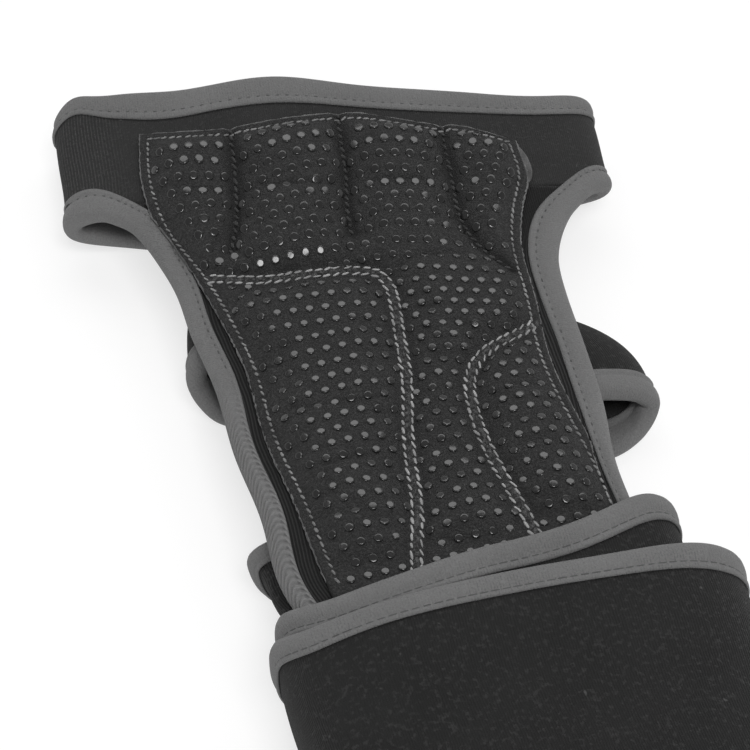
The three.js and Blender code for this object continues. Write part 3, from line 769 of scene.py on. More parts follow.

# %% [markdown]
# The grip patch is a synthetic suede: near black, with a soft grain and tiny glints of light painted
# into its colour. The silicone drops on it are smooth and glossy, so each reflects the studio by itself
# and looks dark, grey or white as its surface tips. That look has to come from the gloss, not paint.


# %% Suede, silicone and threads
def make_suede():
    """Two of the mesh's own attributes colour it: painted shade in the creases, and pale fluff between two
    rows.
    """
    s = Shader("suede", Sheen_Weight=0.05, Sheen_Roughness=0.45, Specular_IOR_Level=0.25)
    grain = s.ramp(s.noise(2300.0, 3.0, 0.75), 0.36, 0.66)
    mottle = s.noise(360.0, 3.0, 0.6)
    painted_glints = s.ramp(s.noise(1900.0, 1.0, 0.5), 0.62, 0.76)
    tone = s.blend(grain * 0.65 + mottle * 0.35, 0.009, 0.060)
    # Painted glints: tiny pale points mixed into the colour stand in for light that the grain catches.
    tone = s.blend(painted_glints * 0.40, tone, 0.085)
    # Painted shade: the suede is darkened in the channels' creases and beside the double rows.
    painted_crease_shade = s.attribute("painted_crease_shade")
    tone = s.blend(painted_crease_shade * 0.85, tone, 0.004)
    fluff = s.attribute("fluff") * s.ramp(s.noise(1300.0, 2.0, 0.7), 0.40, 0.70)
    tone = s.blend(fluff * 0.85, tone, 0.17)
    s.feed(Base_Color=tone, Roughness=s.blend(grain, 0.75, 0.95))
    s.bump(grain + mottle * 0.6 + fluff, 0.00030, 1.0)
    return s.material


def make_silicone():
    """Almost black and glossy: what shows on a drop is the studio, slightly blurred by a haze."""
    s = Shader("silicone", Specular_IOR_Level=0.6, Coat_Weight=0.3, Coat_Roughness=0.08)
    haze = s.noise(420.0, 2.0)
    s.feed(Base_Color=s.blend(haze, 0.010, 0.022), Roughness=s.blend(haze, 0.13, 0.24))
    s.bump(s.noise(800.0, 2.0), 0.00006, 0.5)
    return s.material


def make_thread(name, dark, light):
    """Fine strands, in patches that are paler and darker along the seam."""
    s = Shader(name, Sheen_Weight=0.15, Specular_IOR_Level=0.3)
    strands = s.noise(2600.0, 2.0, 0.6)
    patches = s.ramp(s.noise(220.0, 2.0, 0.6), 0.35, 0.65)
    tone = s.blend(strands * 0.6 + patches * 0.4, dark, light)
    s.feed(Base_Color=tone, Roughness=s.blend(strands, 0.55, 0.8))
    s.bump(strands, 0.00018, 0.9)
    return s.material


def make_hook_tape():
    """Black nylon with a fine uneven weave."""
    s = Shader("hook_tape", Specular_IOR_Level=0.3)
    weave = s.noise(2400.0, 1.0)
    s.feed(Base_Color=s.blend(weave, 0.004, 0.014), Roughness=s.blend(weave, 0.45, 0.7))
    s.bump(weave, 0.0002, 0.8)
    return s.material


suede = make_suede()
silicone = make_silicone()
pale_thread = make_thread("pale_thread", 0.12, 0.50)
thin_thread = make_thread("thin_thread", 0.05, 0.34)
dark_thread = make_thread("dark_thread", 0.008, 0.05)
tape_thread = make_thread("tape_thread", 0.055, 0.10)
raw_fibre = make_thread("raw_fibre", 0.03, 0.19)
fold_fibre = make_thread("fold_fibre", 0.02, 0.12)
hook_tape = make_hook_tape()
print("finishes made:", len(bpy.data.materials))

# %% [markdown]
# The knuckle band is a strip of neoprene sewn into a loop. It could be a bent box, but a squared
# oval swept with its two wavy edges gives the real form in one formula: full flat sides, tight
# ends, and a rise over the middle knuckles.

# %% Knuckle band
band_u, band_length = evenly(band_place, 0, 1, 361)
band_u = band_u[:-1]
band_v = np.linspace(0, 1, 33)
band = neoprene_cloth("knuckle_band_cloth", band_place, band_u, band_v, band_neoprene, True)
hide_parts("knuckle_band")
print("band length in mm:", round(band_length, 1))

# %% [markdown]
# The palm panel is seen only as a dark strip of rib knit between the patch and the grey tape, but
# it is whole underneath. Its cords follow its length and bunch where the tape draws it in.

# %% Palm panel
palm_u = np.linspace(0, 1, 91)
palm_v = np.linspace(0, 1, 181)
palm = neoprene_cloth("palm_panel_cloth", palm_place, palm_u, palm_v, rib_knit)
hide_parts("palm_panel")

# %% [markdown]
# A folded tape is one profile carried along an edge. The profile starts at the lip, dips where the
# stitches pull it down, swells and rolls round the cut edge to the other side. It asks the cloth
# for a point at each depth in from the edge, so it follows every curve of the cloth.

# %% Tape profile
tape_profile = table(
    "at depth height",
    (0.00, 6.20, 1.42),
    (0.10, 5.60, 1.72),
    (0.20, 4.95, 1.70),
    (0.28, 4.40, 1.46),
    (0.36, 3.85, 1.70),
    (0.52, 2.60, 1.98),
    (0.68, 1.30, 2.02),
    (0.80, 0.30, 1.86),
    (0.90, -0.50, 1.36),
    (0.96, -0.85, 0.72),
    (1.00, -0.95, 0.00),
)
tape_depths = np.linspace(0, tape_width, 9)
stitch_depth, stitch_height, lip_thickness = 4.4, 1.47, 0.28


def profile_ring(steps):
    """The whole profile, lip to lip round the fold, with its inner side a tape's wall in."""
    at = np.linspace(0, 1, steps)
    depth, height = read(tape_profile, "depth", at), read(tape_profile, "height", at)
    depth = np.concatenate([depth, depth[-2::-1]])
    height = np.concatenate([height, -height[-2::-1]])
    run = np.gradient(np.stack([depth, height], -1), axis=0)
    out = unit(np.stack([run[:, 1], -run[:, 0]], -1))
    lip = np.abs(np.linspace(-1, 1, len(depth)))
    thick = mix(tape_thickness, lip_thickness, smooth(lip, 0.85, 1))
    inner = np.stack([depth, height], -1) - out * thick[:, None]
    return np.stack([depth, height], -1), inner


def carry(profile, rail, swell=None, narrow=1.0):
    """Points of a profile along a rail: surface at its depth, plus its height along the normal.
    Past the edge the rail runs straight on. The depths are scaled by the tape's own narrowing."""
    grid, normal = rail
    depth, height = profile[:, 0], profile[:, 1]
    narrow = np.broadcast_to(narrow, grid.shape[1])
    inside = np.clip(depth, 0, tape_width)[:, None] * narrow[None]
    spot = inside / tape_width * (len(tape_depths) - 1)
    low = np.clip(np.floor(spot).astype(int), 0, len(tape_depths) - 2)
    station = np.arange(grid.shape[1])[None]
    share = (spot - low)[..., None]
    base = mix(grid[low, station], grid[low + 1, station], share)
    up = unit(mix(normal[low, station], normal[low + 1, station], share))
    outward = unit(grid[0] - grid[1])[None]
    rise = np.broadcast_to(height[:, None], base.shape[:2])
    if swell is not None:
        rise = rise + np.sign(height)[:, None] * swell(depth[:, None])
    middle = base - up * wall_neoprene / 2
    return middle + up * rise[..., None] - outward * np.minimum(depth, 0)[:, None, None]


def make_tape_piece(name, rail, node, closed=False, swell=None, steps=15, narrow=1.0,
                    material=knit_tape):
    """One folded tape along a rail, in the place of its solid."""
    sides = [carry(profile, rail, swell, narrow) for profile in profile_ring(steps)]
    piece = shell(name, *sides, material, "knit_tape", closed)
    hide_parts(node)


def edge_rail(surface, stations, height, start, closed=False):
    """Rows of points at each tape depth in from one edge of a cloth, with their normals."""
    v = tape_depths / height if start else 1 - tape_depths / height
    grid = surface(*np.meshgrid(stations, v))
    normal = normals_of(grid, closed)
    return grid, normal if start else -normal


print("tape profile: points round the fold:", len(profile_ring(15)[0]))

# %% [markdown]
# Stitches are short fat threads, each lying across a pair of holes. One capsule is made once as an
# array and copied to every place along a seam, turned to the seam's direction, so a whole row of
# stitches is a single mesh.

# %% Small shapes of rings, and many copies of one
def ring_faces(rings, sides):
    """Quads between rings of points, and fans of quads that close the first ring and the last."""
    r, c = (g.ravel() for g in np.meshgrid(np.arange(rings - 1), np.arange(sides), indexing="ij"))
    here, beside = r * sides + c, r * sides + (c + 1) % sides
    side = np.stack([here, beside, beside + sides, here + sides], -1)
    spoke = np.arange(1, sides - 2, 2)
    foot = np.stack([np.zeros_like(spoke), spoke + 2, spoke + 1, spoke], -1)
    return np.concatenate([side, foot, (rings - 1) * sides + foot[:, ::-1]])


def capsule(length, radius, sides=8, rings=7):
    """A spindle along X: its radius is the square root of 1 - s^4, and it is a little flat."""
    turn = np.arange(sides) * full_turn / sides
    s = np.linspace(-1, 1, rings)
    swell = np.sqrt(1 - s**4)
    swell[[0, -1]] = 0.12
    x = np.repeat(s * length / 2, sides)
    y = (swell[:, None] * np.cos(turn)).ravel() * radius
    z = (swell[:, None] * np.sin(turn)).ravel() * radius * 0.8
    return np.stack([x, y, z], -1), ring_faces(rings, sides)


def copies(name, shape, places, along, up, material, sizes=1.0):
    """One mesh of a small shape at many places: X goes along, Z goes up."""
    points, faces = shape
    across = unit(np.cross(up, along))
    along = unit(np.cross(across, up))
    sizes = np.broadcast_to(sizes, (len(places), 3))
    local = (points[None] * sizes[:, None])[..., None]
    axes = (along[:, None], across[:, None], up[:, None])
    world = places[:, None] + sum(local[..., k, :] * axes[k] for k in range(3))
    every = faces[None] + (np.arange(len(places)) * len(points))[:, None, None]
    spots = np.zeros((len(places) * len(faces), 4, 2))
    return mesh_piece(name, world.reshape(-1, 3), every.reshape(-1, 4), spots, material)


# %% Rows of stitches
def follow(line, length, at):
    """Points on a line, read at some lengths along it."""
    return np.stack([np.interp(at, length, line[:, k]) for k in range(3)], -1)


def along_line(line, up, pitch, look=0.4):
    """Places a pitch apart on a line of points, with directions and normals there."""
    length = run_along(line)
    at = np.arange(pitch / 2, length[-1], pitch)
    ahead, behind = follow(line, length, at + look), follow(line, length, at - look)
    return follow(line, length, at), unit(ahead - behind), unit(follow(up, length, at))


def tape_stitches(name, rail, narrow, pitch=1.95, length=0.8, radius=0.22, part=slice(None)):
    """A row of short stitches in the tape's valley, on its outer side."""
    grid, normal = rail
    spot = stitch_depth / tape_width * (len(tape_depths) - 1) * narrow
    low, station = np.floor(spot).astype(int), np.arange(grid.shape[1])
    line = mix(grid[low, station], grid[low + 1, station], (spot - low)[:, None])
    line = (line + normal[low, station] * (stitch_height - wall_neoprene / 2))[part]
    place, ahead, over = along_line(line, normal[2][part], pitch)
    sizes = 1 + rng.normal(0, 0.12, (len(place), 3))
    return copies(name, capsule(length, radius), place, ahead, over, tape_thread, sizes)


# %% [markdown]
# The knuckle tape is folded over the band's finger edge, once round. It is drawn tighter where it
# rounds the little finger's end, so a small table narrows it there and it lies flatter.

# %% Knuckle tape
finger_u, _ = evenly(band_place, 0, 1, 301, 0)
finger_rail = edge_rail(band_place, finger_u[:-1], knuckle_height, True, True)
finger_narrowing = table(
    "at share", (-56, 0.56), (-48, 0.72), (-41, 1.00), (-34, 1.20), (-20, 1.06), (0, 1.00)
)
finger_x = finger_rail[0][0, :, 0]
finger_narrow = read(finger_narrowing, "share", np.clip(finger_x, -56, 0))


def pulled_flat(depth):
    """The tape lies tighter where it rounds the little finger's end."""
    away_from_stitches = smooth(depth, -0.9, 0.6) * smooth(depth, 4.2, 2.6)
    return -0.75 * smooth(-finger_x, 44, 54)[None] * away_from_stitches


make_tape_piece("knuckle_tape", finger_rail, "knuckle_binding", True, pulled_flat, narrow=finger_narrow)
tape_stitches("knuckle_tape_stitches", finger_rail, finger_narrow)

# %% [markdown]
# One tape runs up the little finger's side of the palm, turns onto the wrist edge of the knuckle
# band, goes round the back of the hand and comes down the thumb's side. The rail is joined from
# those three stretches and its corners are rounded, as a stretchy tape rounds them by itself.


# %% The body tape's rail
corner_reach = 1.5
little_until, thumb_from = 0.27, 0.73


def side_stretch(side):
    """Depth rows on the palm's edge, from the wrap up to the corner."""
    v = np.linspace(palm_at_wrap, palm_at_corner, 150)
    width = palm_side("right", v) - palm_side("left", v)
    share = tape_depths[:, None] / width[None]
    return palm_place(share if side == "left" else 1 - share, np.broadcast_to(v, share.shape))


def round_stretch():
    """Depth rows on the knuckle band's wrist edge, once round the back of the hand."""
    left, right = palm_side("left", 1.0) - corner_reach, palm_side("right", 1.0) + corner_reach
    dense, _ = evenly(band_place, float(band_turn(left)), float(band_turn(right)) + 1, 420, 1)
    u, v = np.meshgrid(dense, 1 - tape_depths / knuckle_height)
    return band_place(u, v)


def rounded(grid, reach, step=0.7):
    """Runs a bell-shaped average along the stations, so that a corner becomes a curve."""
    length = run_along(grid[0])
    even = np.linspace(0, length[-1], int(length[-1] / step))
    fine = np.stack([follow(row, length, even) for row in grid])
    half = int(3 * reach / step)
    weight = np.exp(-0.5 * (np.arange(-half, half + 1) * step / reach) ** 2)
    weight /= weight.sum()
    padded = np.concatenate([
        2 * fine[:, :1] - fine[:, half:0:-1], fine, 2 * fine[:, -1:] - fine[:, -2:-half - 2:-1]
    ], 1)
    out = np.empty_like(fine)
    for k in range(3):
        for row in range(len(fine)):
            out[row, :, k] = np.convolve(padded[row, :, k], weight, "valid")
    return out, even


little, thumb = side_stretch("left"), side_stretch("right")[:, ::-1]
body_grid, body_run = rounded(np.concatenate([little, round_stretch(), thumb], 1), 2.2)
body_normal = normals_of(body_grid)
body_rail = (body_grid, body_normal * np.sign(body_normal[0, 5, 2]))
print("body tape's length in mm:", round(float(body_run[-1])))


# %% Body tape
ridge_pitch = 3.3


def gathers(depth):
    """Crescent folds where the tape is drawn tight: bowed ridges, sin to the power 0.7."""
    y = body_grid[0, :, 1]
    little_side = body_run < body_run[-1] * 0.3
    drawn = smooth(y, 4, -16) * little_side
    slight = smooth(np.abs(y - 14), 14, 6) * (body_run > body_run[-1] * 0.7)
    bow = body_run[None] + 0.20 * (depth - 2.5) ** 2
    ridge = np.abs(np.sin(bow * math.pi / ridge_pitch)) ** 0.7 - 0.6
    band_of_tape = smooth(depth, -1.0, 0.2) * smooth(depth, 5.2, 4.4)
    return ridge * band_of_tape * (0.16 * drawn + 0.10 * slight)


side_narrowing = table(
    "at little thumb",
    (-60, 0.48, 0.34),
    (-25, 0.52, 0.42),
    (-8, 0.50, 0.72),
    (8, 0.57, 0.72),
    (26, 0.55, 0.84),
    (40, 0.74, 1.00),
    (50, 1.00, 1.00),
)


def narrowing():
    """The tape's visible width as a share: pulled thin beside the palm, full on the band."""
    y, share = body_grid[0, :, 1], body_run / body_run[-1]
    little = read(side_narrowing, "little", np.clip(y, -60, 50))
    thumb = read(side_narrowing, "thumb", np.clip(y, -60, 50))
    return np.where(share < little_until, little, np.where(share > thumb_from, thumb, 1.0))


body_narrow = narrowing()
make_tape_piece("body_tape", body_rail, "body_binding", swell=gathers, narrow=body_narrow,
                material=gathered_tape)
past_the_gathers = slice(int(0.17 * len(body_run)), None)
tape_stitches("body_tape_stitches", body_rail, body_narrow, part=past_the_gathers)

# %% [markdown]
# The patch is padded fabric: suede over foam, sewn down along channels. The seams are curves on
# the palm, and the cloth between them swells. The fine sheet starts flat on the vault, is held at
# every seam, and a short cloth simulation blows it up; it is scaled up tenfold for that, because
# the solver is tuned for things the size of clothes, and its rise is capped by the foam's height.

# %% Seams of the patch, as curves in plan
finger_seams = [
    [(-18.8, 69), (-19.6, 55), (-20.2, 43), (-22.0, 36)],
    [(3.2, 71), (2.4, 55), (1.7, 43), (1.8, 36)],
    [(23.7, 67), (23.4, 55), (23.4, 38), (26.0, 29.5), (30.5, 22.8)],
]
pad_seam = [
    (-27.5, 30.0), (-17.6, 27.1), (-7.5, 26.7), (1.5, 25.9), (4.4, 24.6), (5.8, 21.6), (6.2, 17),
    (5.8, 8), (5.2, -2), (4.3, -12), (3.3, -22), (2.2, -32), (0.6, -41), (-1, -50),
]
heel_seam = [
    (31.4, 8.7), (28.0, 6.8), (24.6, 5.1), (21.2, 3.0), (18.8, 0.6), (17.2, -2.2), (16.2, -6),
    (16.2, -11), (17, -18), (18, -25.5), (19.4, -33), (21.4, -42), (23, -50),
]
pad_gap = 1.65


def curve_through(points, step=0.5):
    """A smooth curve through a few points, an even step apart."""
    points = np.array(points, float)
    run = run_along(points)
    rows = {"at": run, "x": points[:, 0], "y": points[:, 1]}
    at = np.arange(0, run[-1], step)
    return np.stack([read(rows, "x", at), read(rows, "y", at)], -1)


def offset(line, distance):
    """A curve beside another, to its left."""
    along = unit(np.gradient(line, axis=0))
    return line + np.stack([-along[:, 1], along[:, 0]], -1) * distance


seam_lines = [curve_through(points) for points in finger_seams]
pad_line, heel_line = curve_through(pad_seam), curve_through(heel_seam)
double_lines = [offset(line, side * pad_gap / 2) for line in (pad_line, heel_line) for side in (-1, 1)]
for name, line in (("pad", pad_line), ("heel", heel_line)):
    print(name, "seam's length in mm:", round(float(run_along(line)[-1])))


# %% How far each place lies from a seam
def distance_to(lines, x, y):
    """Least distance in plan from each place to any of the curves."""
    spots = np.concatenate(lines)
    best = np.full(x.shape, 1e9)
    for start in range(0, len(spots), 64):
        part = spots[start:start + 64]
        gap = np.hypot(x[..., None] - part[:, 0], y[..., None] - part[:, 1]).min(-1)
        best = np.minimum(best, gap)
    return best


# %% The patch before it swells
patch_rows, patch_columns = 197, 127
stitch_inset = 1.70


def patch_plan(u, v):
    """Plan place of the patch: its outline, with its cut edge kept clear of the palm's tape."""
    share = mix(read(patch_outline, "left", v), read(patch_outline, "right", v), u)
    x = share * patch_half_width
    step = read(patch_top, "step", share) * v * v
    y = patch_foot_y + (v + step) * patch_length + wrist_lean * x * (1 - v)
    at = palm_share(x, y)
    margin = 0.62 * tape_width
    held = np.clip(x, palm_side("left", at) + margin, palm_side("right", at) - margin)
    return np.where(at < 1, held, x), y


patch_u, patch_v = np.meshgrid(np.linspace(0, 1, patch_columns), np.linspace(0, 1, patch_rows))
patch_x, patch_y = patch_plan(patch_u, patch_v)
patch_bed = front_height(patch_x, patch_y) + seam_gap + band_crown(patch_x, patch_y)
patch_base = point(patch_x, patch_y, patch_bed)
hem_gap = np.minimum(
    np.minimum(patch_u, 1 - patch_u) * (patch_x[:, -1:] - patch_x[:, :1]),
    (1 - patch_v) * patch_length,
)
channel_gap = distance_to(seam_lines, patch_x, patch_y)
double_gap = distance_to(double_lines, patch_x, patch_y)
between_rows = distance_to([pad_line, heel_line], patch_x, patch_y)
print("patch grid", patch_base.shape, "from the hem up to", round(float(hem_gap.max()), 1), "mm")


# %% [markdown]
# The swell by formula is 1 - exp(-(gap / reach)^2) from each seam.

# %% How the padding swells
def rise_from(gap, reach):
    """Nothing on a seam and nearly full at twice the reach from it."""
    return 1 - np.exp(-((np.maximum(gap, 0) / reach) ** 2))


inner_hem = np.maximum(hem_gap - stitch_inset, 0)
finger_zone = smooth(patch_y, 27, 36)
in_pad = smooth(pad_line[:, 0].max() - patch_x, -2, 4) * (1 - finger_zone)
in_heel = smooth(patch_x, 14, 20) * smooth(patch_y, 10, 2)
swell = rise_from(channel_gap, 2.9) * rise_from(double_gap, 2.4) * rise_from(inner_hem, 2.6)
fullness = finger_zone + (1 - finger_zone) * np.clip(0.45 + 0.55 * in_pad + 0.55 * in_heel, 0, 1)
under_wrap = smooth(patch_v * patch_length, 9, 19)
foam = pad_rise * swell * fullness * under_wrap
foam = foam + 0.35 * np.exp(-((between_rows / 0.7) ** 2)) * (1 - finger_zone)
fabric_up = upward_normals(patch_base)
print("the foam's swell in mm:", round(float(foam.max()), 2))


# %% Cloth simulation of the patch
def blow_up(start, pinned, scale=0.01, frames=20):
    """Runs Cloth on the sheet, at ten times its size, and gives back its points."""
    rows, columns = start.shape[:2]
    index = np.arange(rows * columns).reshape(rows, columns)
    faces = np.stack([index[:-1, :-1], index[:-1, 1:], index[1:, 1:], index[1:, :-1]], -1).reshape(-1, 4)
    mesh = bpy.data.meshes.new("patch_simulation")
    mesh.from_pydata((start.reshape(-1, 3) * scale).tolist(), [], faces.tolist())
    body = bpy.data.objects.new("patch_simulation", mesh)
    bpy.context.scene.collection.objects.link(body)
    held = body.vertex_groups.new(name="held")
    held.add(np.flatnonzero(pinned.ravel()).tolist(), 1.0, "REPLACE")
    cloth = body.modifiers.new("cloth", "CLOTH")
    cloth.settings.quality = 5
    cloth.settings.mass = 0.3
    cloth.settings.use_pressure = True
    cloth.settings.uniform_pressure_force = 4
    cloth.settings.effector_weights.gravity = 0
    cloth.settings.shrink_min = -0.03
    cloth.settings.vertex_group_mass = "held"
    cloth.point_cache.frame_start, cloth.point_cache.frame_end = 1, frames
    scene = bpy.context.scene
    for number in range(1, frames + 1):
        scene.frame_set(number)
    made = body.evaluated_get(bpy.context.evaluated_depsgraph_get())
    place = np.empty(len(mesh.vertices) * 3, np.float32)
    made.data.vertices.foreach_get("co", place)
    scene.frame_set(1)
    bpy.data.objects.remove(body)
    bpy.data.meshes.remove(mesh)
    return place.reshape(start.shape).astype(float) / scale


patch_start = patch_base + fabric_up * (wall_suede + foam * 0.6)[..., None]
patch_face = patch_base + fabric_up * (wall_suede + foam)[..., None]
held_down = (channel_gap < 0.9) | (double_gap < 0.7) | (hem_gap < stitch_inset)
held_down |= under_wrap < 0.02
blown = blow_up(patch_start, held_down)
moved = np.einsum("ijk,ijk->ij", blown - patch_start, fabric_up)
pucker = np.clip(moved, -0.8, 1.2)
print("cloth rose by up to", round(float(moved.max()), 2), "mm, fell by", round(float(moved.min()), 2))
patch_face = patch_start + fabric_up * (pucker * (1 - np.exp(-inner_hem)))[..., None]

# %% Grip patch
stitch_pinch = np.exp(-(((hem_gap - stitch_inset) / 0.6) ** 2)) * (patch_v > 0.06)
seam_pinch = np.exp(-((double_gap / 0.5) ** 2)) + np.exp(-((channel_gap / 0.95) ** 2)) * 3.2
patch_face = patch_face - fabric_up * (0.26 * (stitch_pinch + seam_pinch))[..., None]
rolled = np.clip(hem_gap, 0, 0.8) / 0.8
patch_face = patch_face - fabric_up * (0.5 * (1 - np.sqrt(1 - (1 - rolled) ** 2)))[..., None]
patch = shell("grip_patch_cloth", patch_face, patch_base, suede, "dotted_suede")
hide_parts("grip_patch")


def add_attribute(piece, name, outer):
    """A number for each point of a shell: its outer grid's values, then none on the inner grid."""
    values = np.concatenate([outer.ravel(), np.zeros(outer.size)]).astype(np.float32)
    piece.data.attributes.new(name, "FLOAT", "POINT").data.foreach_set("value", values)


# Painted shade for the creases, kept at the patch's points as an attribute that darkens the suede.
painted_crease_shade = np.exp(-((channel_gap / 1.25) ** 2)) + 0.35 * np.exp(-(((double_gap - 0.9) / 0.6) ** 2))
add_attribute(patch, "painted_crease_shade", np.clip(painted_crease_shade, 0, 1))
add_attribute(patch, "fluff", np.exp(-((between_rows / 0.75) ** 4)) * (1 - finger_zone * 0.7))
patch_up = upward_normals(patch_face)

# %% [markdown]
# The drops stand in staggered rows that follow the cloth. Each is a low disc with a rounded
# shoulder. Their places are worked out in the patch's own plan and then read off the fine grid, so
# they ride up and down the padding, and those that a seam would swallow are left out.


# %% Silicone drops
def sample(grid, column, row):
    """Values of a grid at fractional columns and rows, by mixing the four around each."""
    c = np.clip(np.floor(column).astype(int), 0, grid.shape[1] - 2)
    r = np.clip(np.floor(row).astype(int), 0, grid.shape[0] - 2)
    fc, fr = column - c, row - r
    if grid.ndim == 3:
        fc, fr = fc[:, None], fr[:, None]
    return mix(mix(grid[r, c], grid[r, c + 1], fc), mix(grid[r + 1, c], grid[r + 1, c + 1], fc), fr)


def disc(radius=0.84, height=0.32, sides=12):
    """A low drop: a flat top, a rounded shoulder and a skirt that sinks into the cloth. Its rings
    run from the top down, so the corners of each face are taken the other way round."""
    r = radius * np.array([0.56, 0.74, 0.87, 0.96, 1.0])[:, None]
    z = height * np.array([1.0, 0.98, 0.84, 0.48, -0.9])
    turn = np.arange(sides) * full_turn / sides
    points = np.stack([(r * np.cos(turn)).ravel(), (r * np.sin(turn)).ravel(), np.repeat(z, sides)], -1)
    return points, ring_faces(len(z), sides)[:, [0, 3, 2, 1]]


print("one drop has", len(disc()[1]), "faces and one stitch has", len(capsule(1, 0.2)[1]))

# %% Where the drops stand
drop_pitch, row_pitch, finger_row_pitch = 2.96, 3.08, 3.8
first_finger_row, finger_rows_from = 26, 30
hem_clear, channel_clear, double_clear = 3.0, 1.0, 0.75
row_slant = table(
    "at slope",
    (-55, 0.00),
    (0, 0.01),
    (14, -0.08),
    (24, -0.09),
    (33, 0.04),
    (46, 0.10),
    (80, 0.12),
)
across_at, along_at = np.meshgrid(np.arange(-20, 21), np.arange(-2, 42))
past = along_at - first_finger_row
row_y = finger_rows_from + past * np.where(past < 0, row_pitch, finger_row_pitch)
drop_x = (across_at + 0.5 * (along_at % 2)) * drop_pitch + 0.6
drop_y = row_y + read(row_slant, "slope", np.clip(row_y, -55, 80)) * drop_x - patch_foot_y
drop_v = drop_y / patch_length
left, right = (read(patch_outline, side, drop_v) for side in ("left", "right"))
drop_u = (drop_x / patch_half_width - left) / (right - left)
ok = (drop_v > 0.05) & (drop_v < 1) & (drop_u > 0) & (drop_u < 1)
column, row = drop_u[ok] * (patch_columns - 1), drop_v[ok] * (patch_rows - 1)
hem_there = sample(hem_gap, column, row)
channel_there, double_there = sample(channel_gap, column, row), sample(double_gap, column, row)
keep = (hem_there > hem_clear) & (channel_there > channel_clear) & (double_there > double_clear)
column, row = column[keep], row[keep]
drop_place = sample(patch_face, column, row)
drop_tilt = 0.32 * smooth(drop_place[:, 1], 27, 32) * (1 - 0.75 * smooth(drop_place[:, 1], 52, 62))
drop_up = unit(sample(patch_up, column, row) + drop_tilt[:, None] * np.array([0, -1, 0]))
drop_sizes = 1 + rng.normal(0, 0.035, (len(drop_place), 3))
drop_sizes *= 1 + smooth(drop_place[:, 1], 27, 34)[:, None] * np.array([0.14, 0.28, 0.30])
sideways = np.tile([1.0, 0, 0], (len(drop_place), 1))
copies("silicone_drops", disc(), drop_place, sideways, drop_up, silicone, drop_sizes)
print("drops:", len(drop_place))


# %% [markdown]
# The patch is sewn down with a pale thick thread. A row runs 1.7 mm inside its edge, and two rows
# side by side bound the large pad and the thumb's heel pad. The channels between the fingers are
# sewn deep, so only dark thread shows there.

# %% Patch stitches
def on_patch(line):
    """A curve in plan put on the patch: v is found in four rounds, then u, then the height."""
    v = np.clip((line[:, 1] - patch_foot_y) / patch_length, 0, 1)
    for _ in range(4):
        share = line[:, 0] / patch_half_width
        step = read(patch_top, "step", share) * v * v
        lean = wrist_lean * line[:, 0] * (1 - v)
        v = np.clip((line[:, 1] - patch_foot_y - lean) / patch_length - step, 0, 1)
    sides = [read(patch_outline, side, v) for side in ("left", "right")]
    u = np.clip((line[:, 0] / patch_half_width - sides[0]) / (sides[1] - sides[0]), 0, 1)
    column, row = u * (patch_columns - 1), v * (patch_rows - 1)
    return sample(patch_face, column, row), unit(sample(patch_up, column, row))


def sew(name, lines, thread, pitch, length, radius, lift=0.12, slant=0.0):
    """Stitches along curves that are already on the patch."""
    rows = [along_line(*line, pitch) for line in lines]
    place, ahead, over = (np.concatenate([row[k] for row in rows]) for k in range(3))
    count = (len(place), 1)
    place = place + over * lift + ahead * rng.normal(0, 0.10, count)
    ahead = ahead + np.cross(over, ahead) * rng.normal(slant, 0.14, count)
    sizes = 1 + rng.normal(0, 0.13, (len(place), 3))
    return copies(name, capsule(length, radius), place, ahead, over, thread, sizes)


def hem_line():
    """Round the patch just inside its edge: up one side, across the top and down the other."""
    width = patch_x[:, -1] - patch_x[:, 0]
    inset = stitch_inset / width * (patch_columns - 1)
    top = (1 - stitch_inset / patch_length) * (patch_rows - 1)
    rows_up = np.linspace(0.06 * (patch_rows - 1), top, 200)
    left = np.interp(rows_up, np.arange(patch_rows), inset)
    columns = np.linspace(left[-1], patch_columns - 1 - left[-1], 150)
    column = np.concatenate([left, columns[1:-1], (patch_columns - 1 - left)[::-1]])
    row = np.concatenate([rows_up, np.full(len(columns) - 2, top), rows_up[::-1]])
    return sample(patch_face, column, row), unit(sample(patch_up, column, row))


pad_rows = [on_patch(line) for line in double_lines]
sew("patch_stitches", [hem_line()], thin_thread, 1.55, 1.30, 0.225, 0.08, slant=0.30)
sew("pad_stitches", pad_rows, pale_thread, 1.85, 1.62, 0.235, 0.10, slant=0.28)
sew("channel_stitches", [on_patch(line) for line in seam_lines], dark_thread, 1.9, 1.5, 0.30, slant=0.5)

# %% [markdown]
# The raw edge of the patch frays a little: a thin uneven roll of pale fibres. It is a small round
# section whose radius wanders as it runs round the edge.


# %% Frayed edge
def fray(name, line, up, radius, material, wander=0.6, sides=7):
    """A thin closed roll along a line, its radius uneven by a noise drawn once."""
    along = unit(np.gradient(line, axis=0))
    across = unit(np.cross(up, along))
    turn = np.arange(sides) * full_turn / sides
    size = radius * (1 + wander * rng.uniform(-1, 1, (len(line), sides)))
    size[[0, -1]] *= 0.2
    sideways = np.cos(turn)[None, :, None] * across[:, None]
    upward = np.sin(turn)[None, :, None] * unit(up)[:, None]
    ring = line[:, None] + size[..., None] * (sideways + upward)
    centre = line[:, None] + (ring - line[:, None]) * 0.15
    shell(name, ring, centre, material, "dotted_suede", closed=True)


def round_the_edge(grid, start=0.07):
    """Values up a grid's first column, along its last row and down its last column."""
    rows = np.arange(int(start * len(grid)), len(grid))
    return np.concatenate([grid[rows, 0], grid[-1, 2:-2:2], grid[rows[::-1], -1]])


edge_up = round_the_edge(patch_up)
edge_line = round_the_edge(patch_face) - 0.15 * edge_up
fray("patch_frayed_edge", edge_line, edge_up, 0.24, raw_fibre)

# %% [markdown]
# At the thumb's top corner the patch was folded before it was sewn, and the fold stands out past
# the stitches as a small paler lip. It is a narrow sheet that leaves the patch's edge, bows up and
# thins out to almost nothing at both ends.


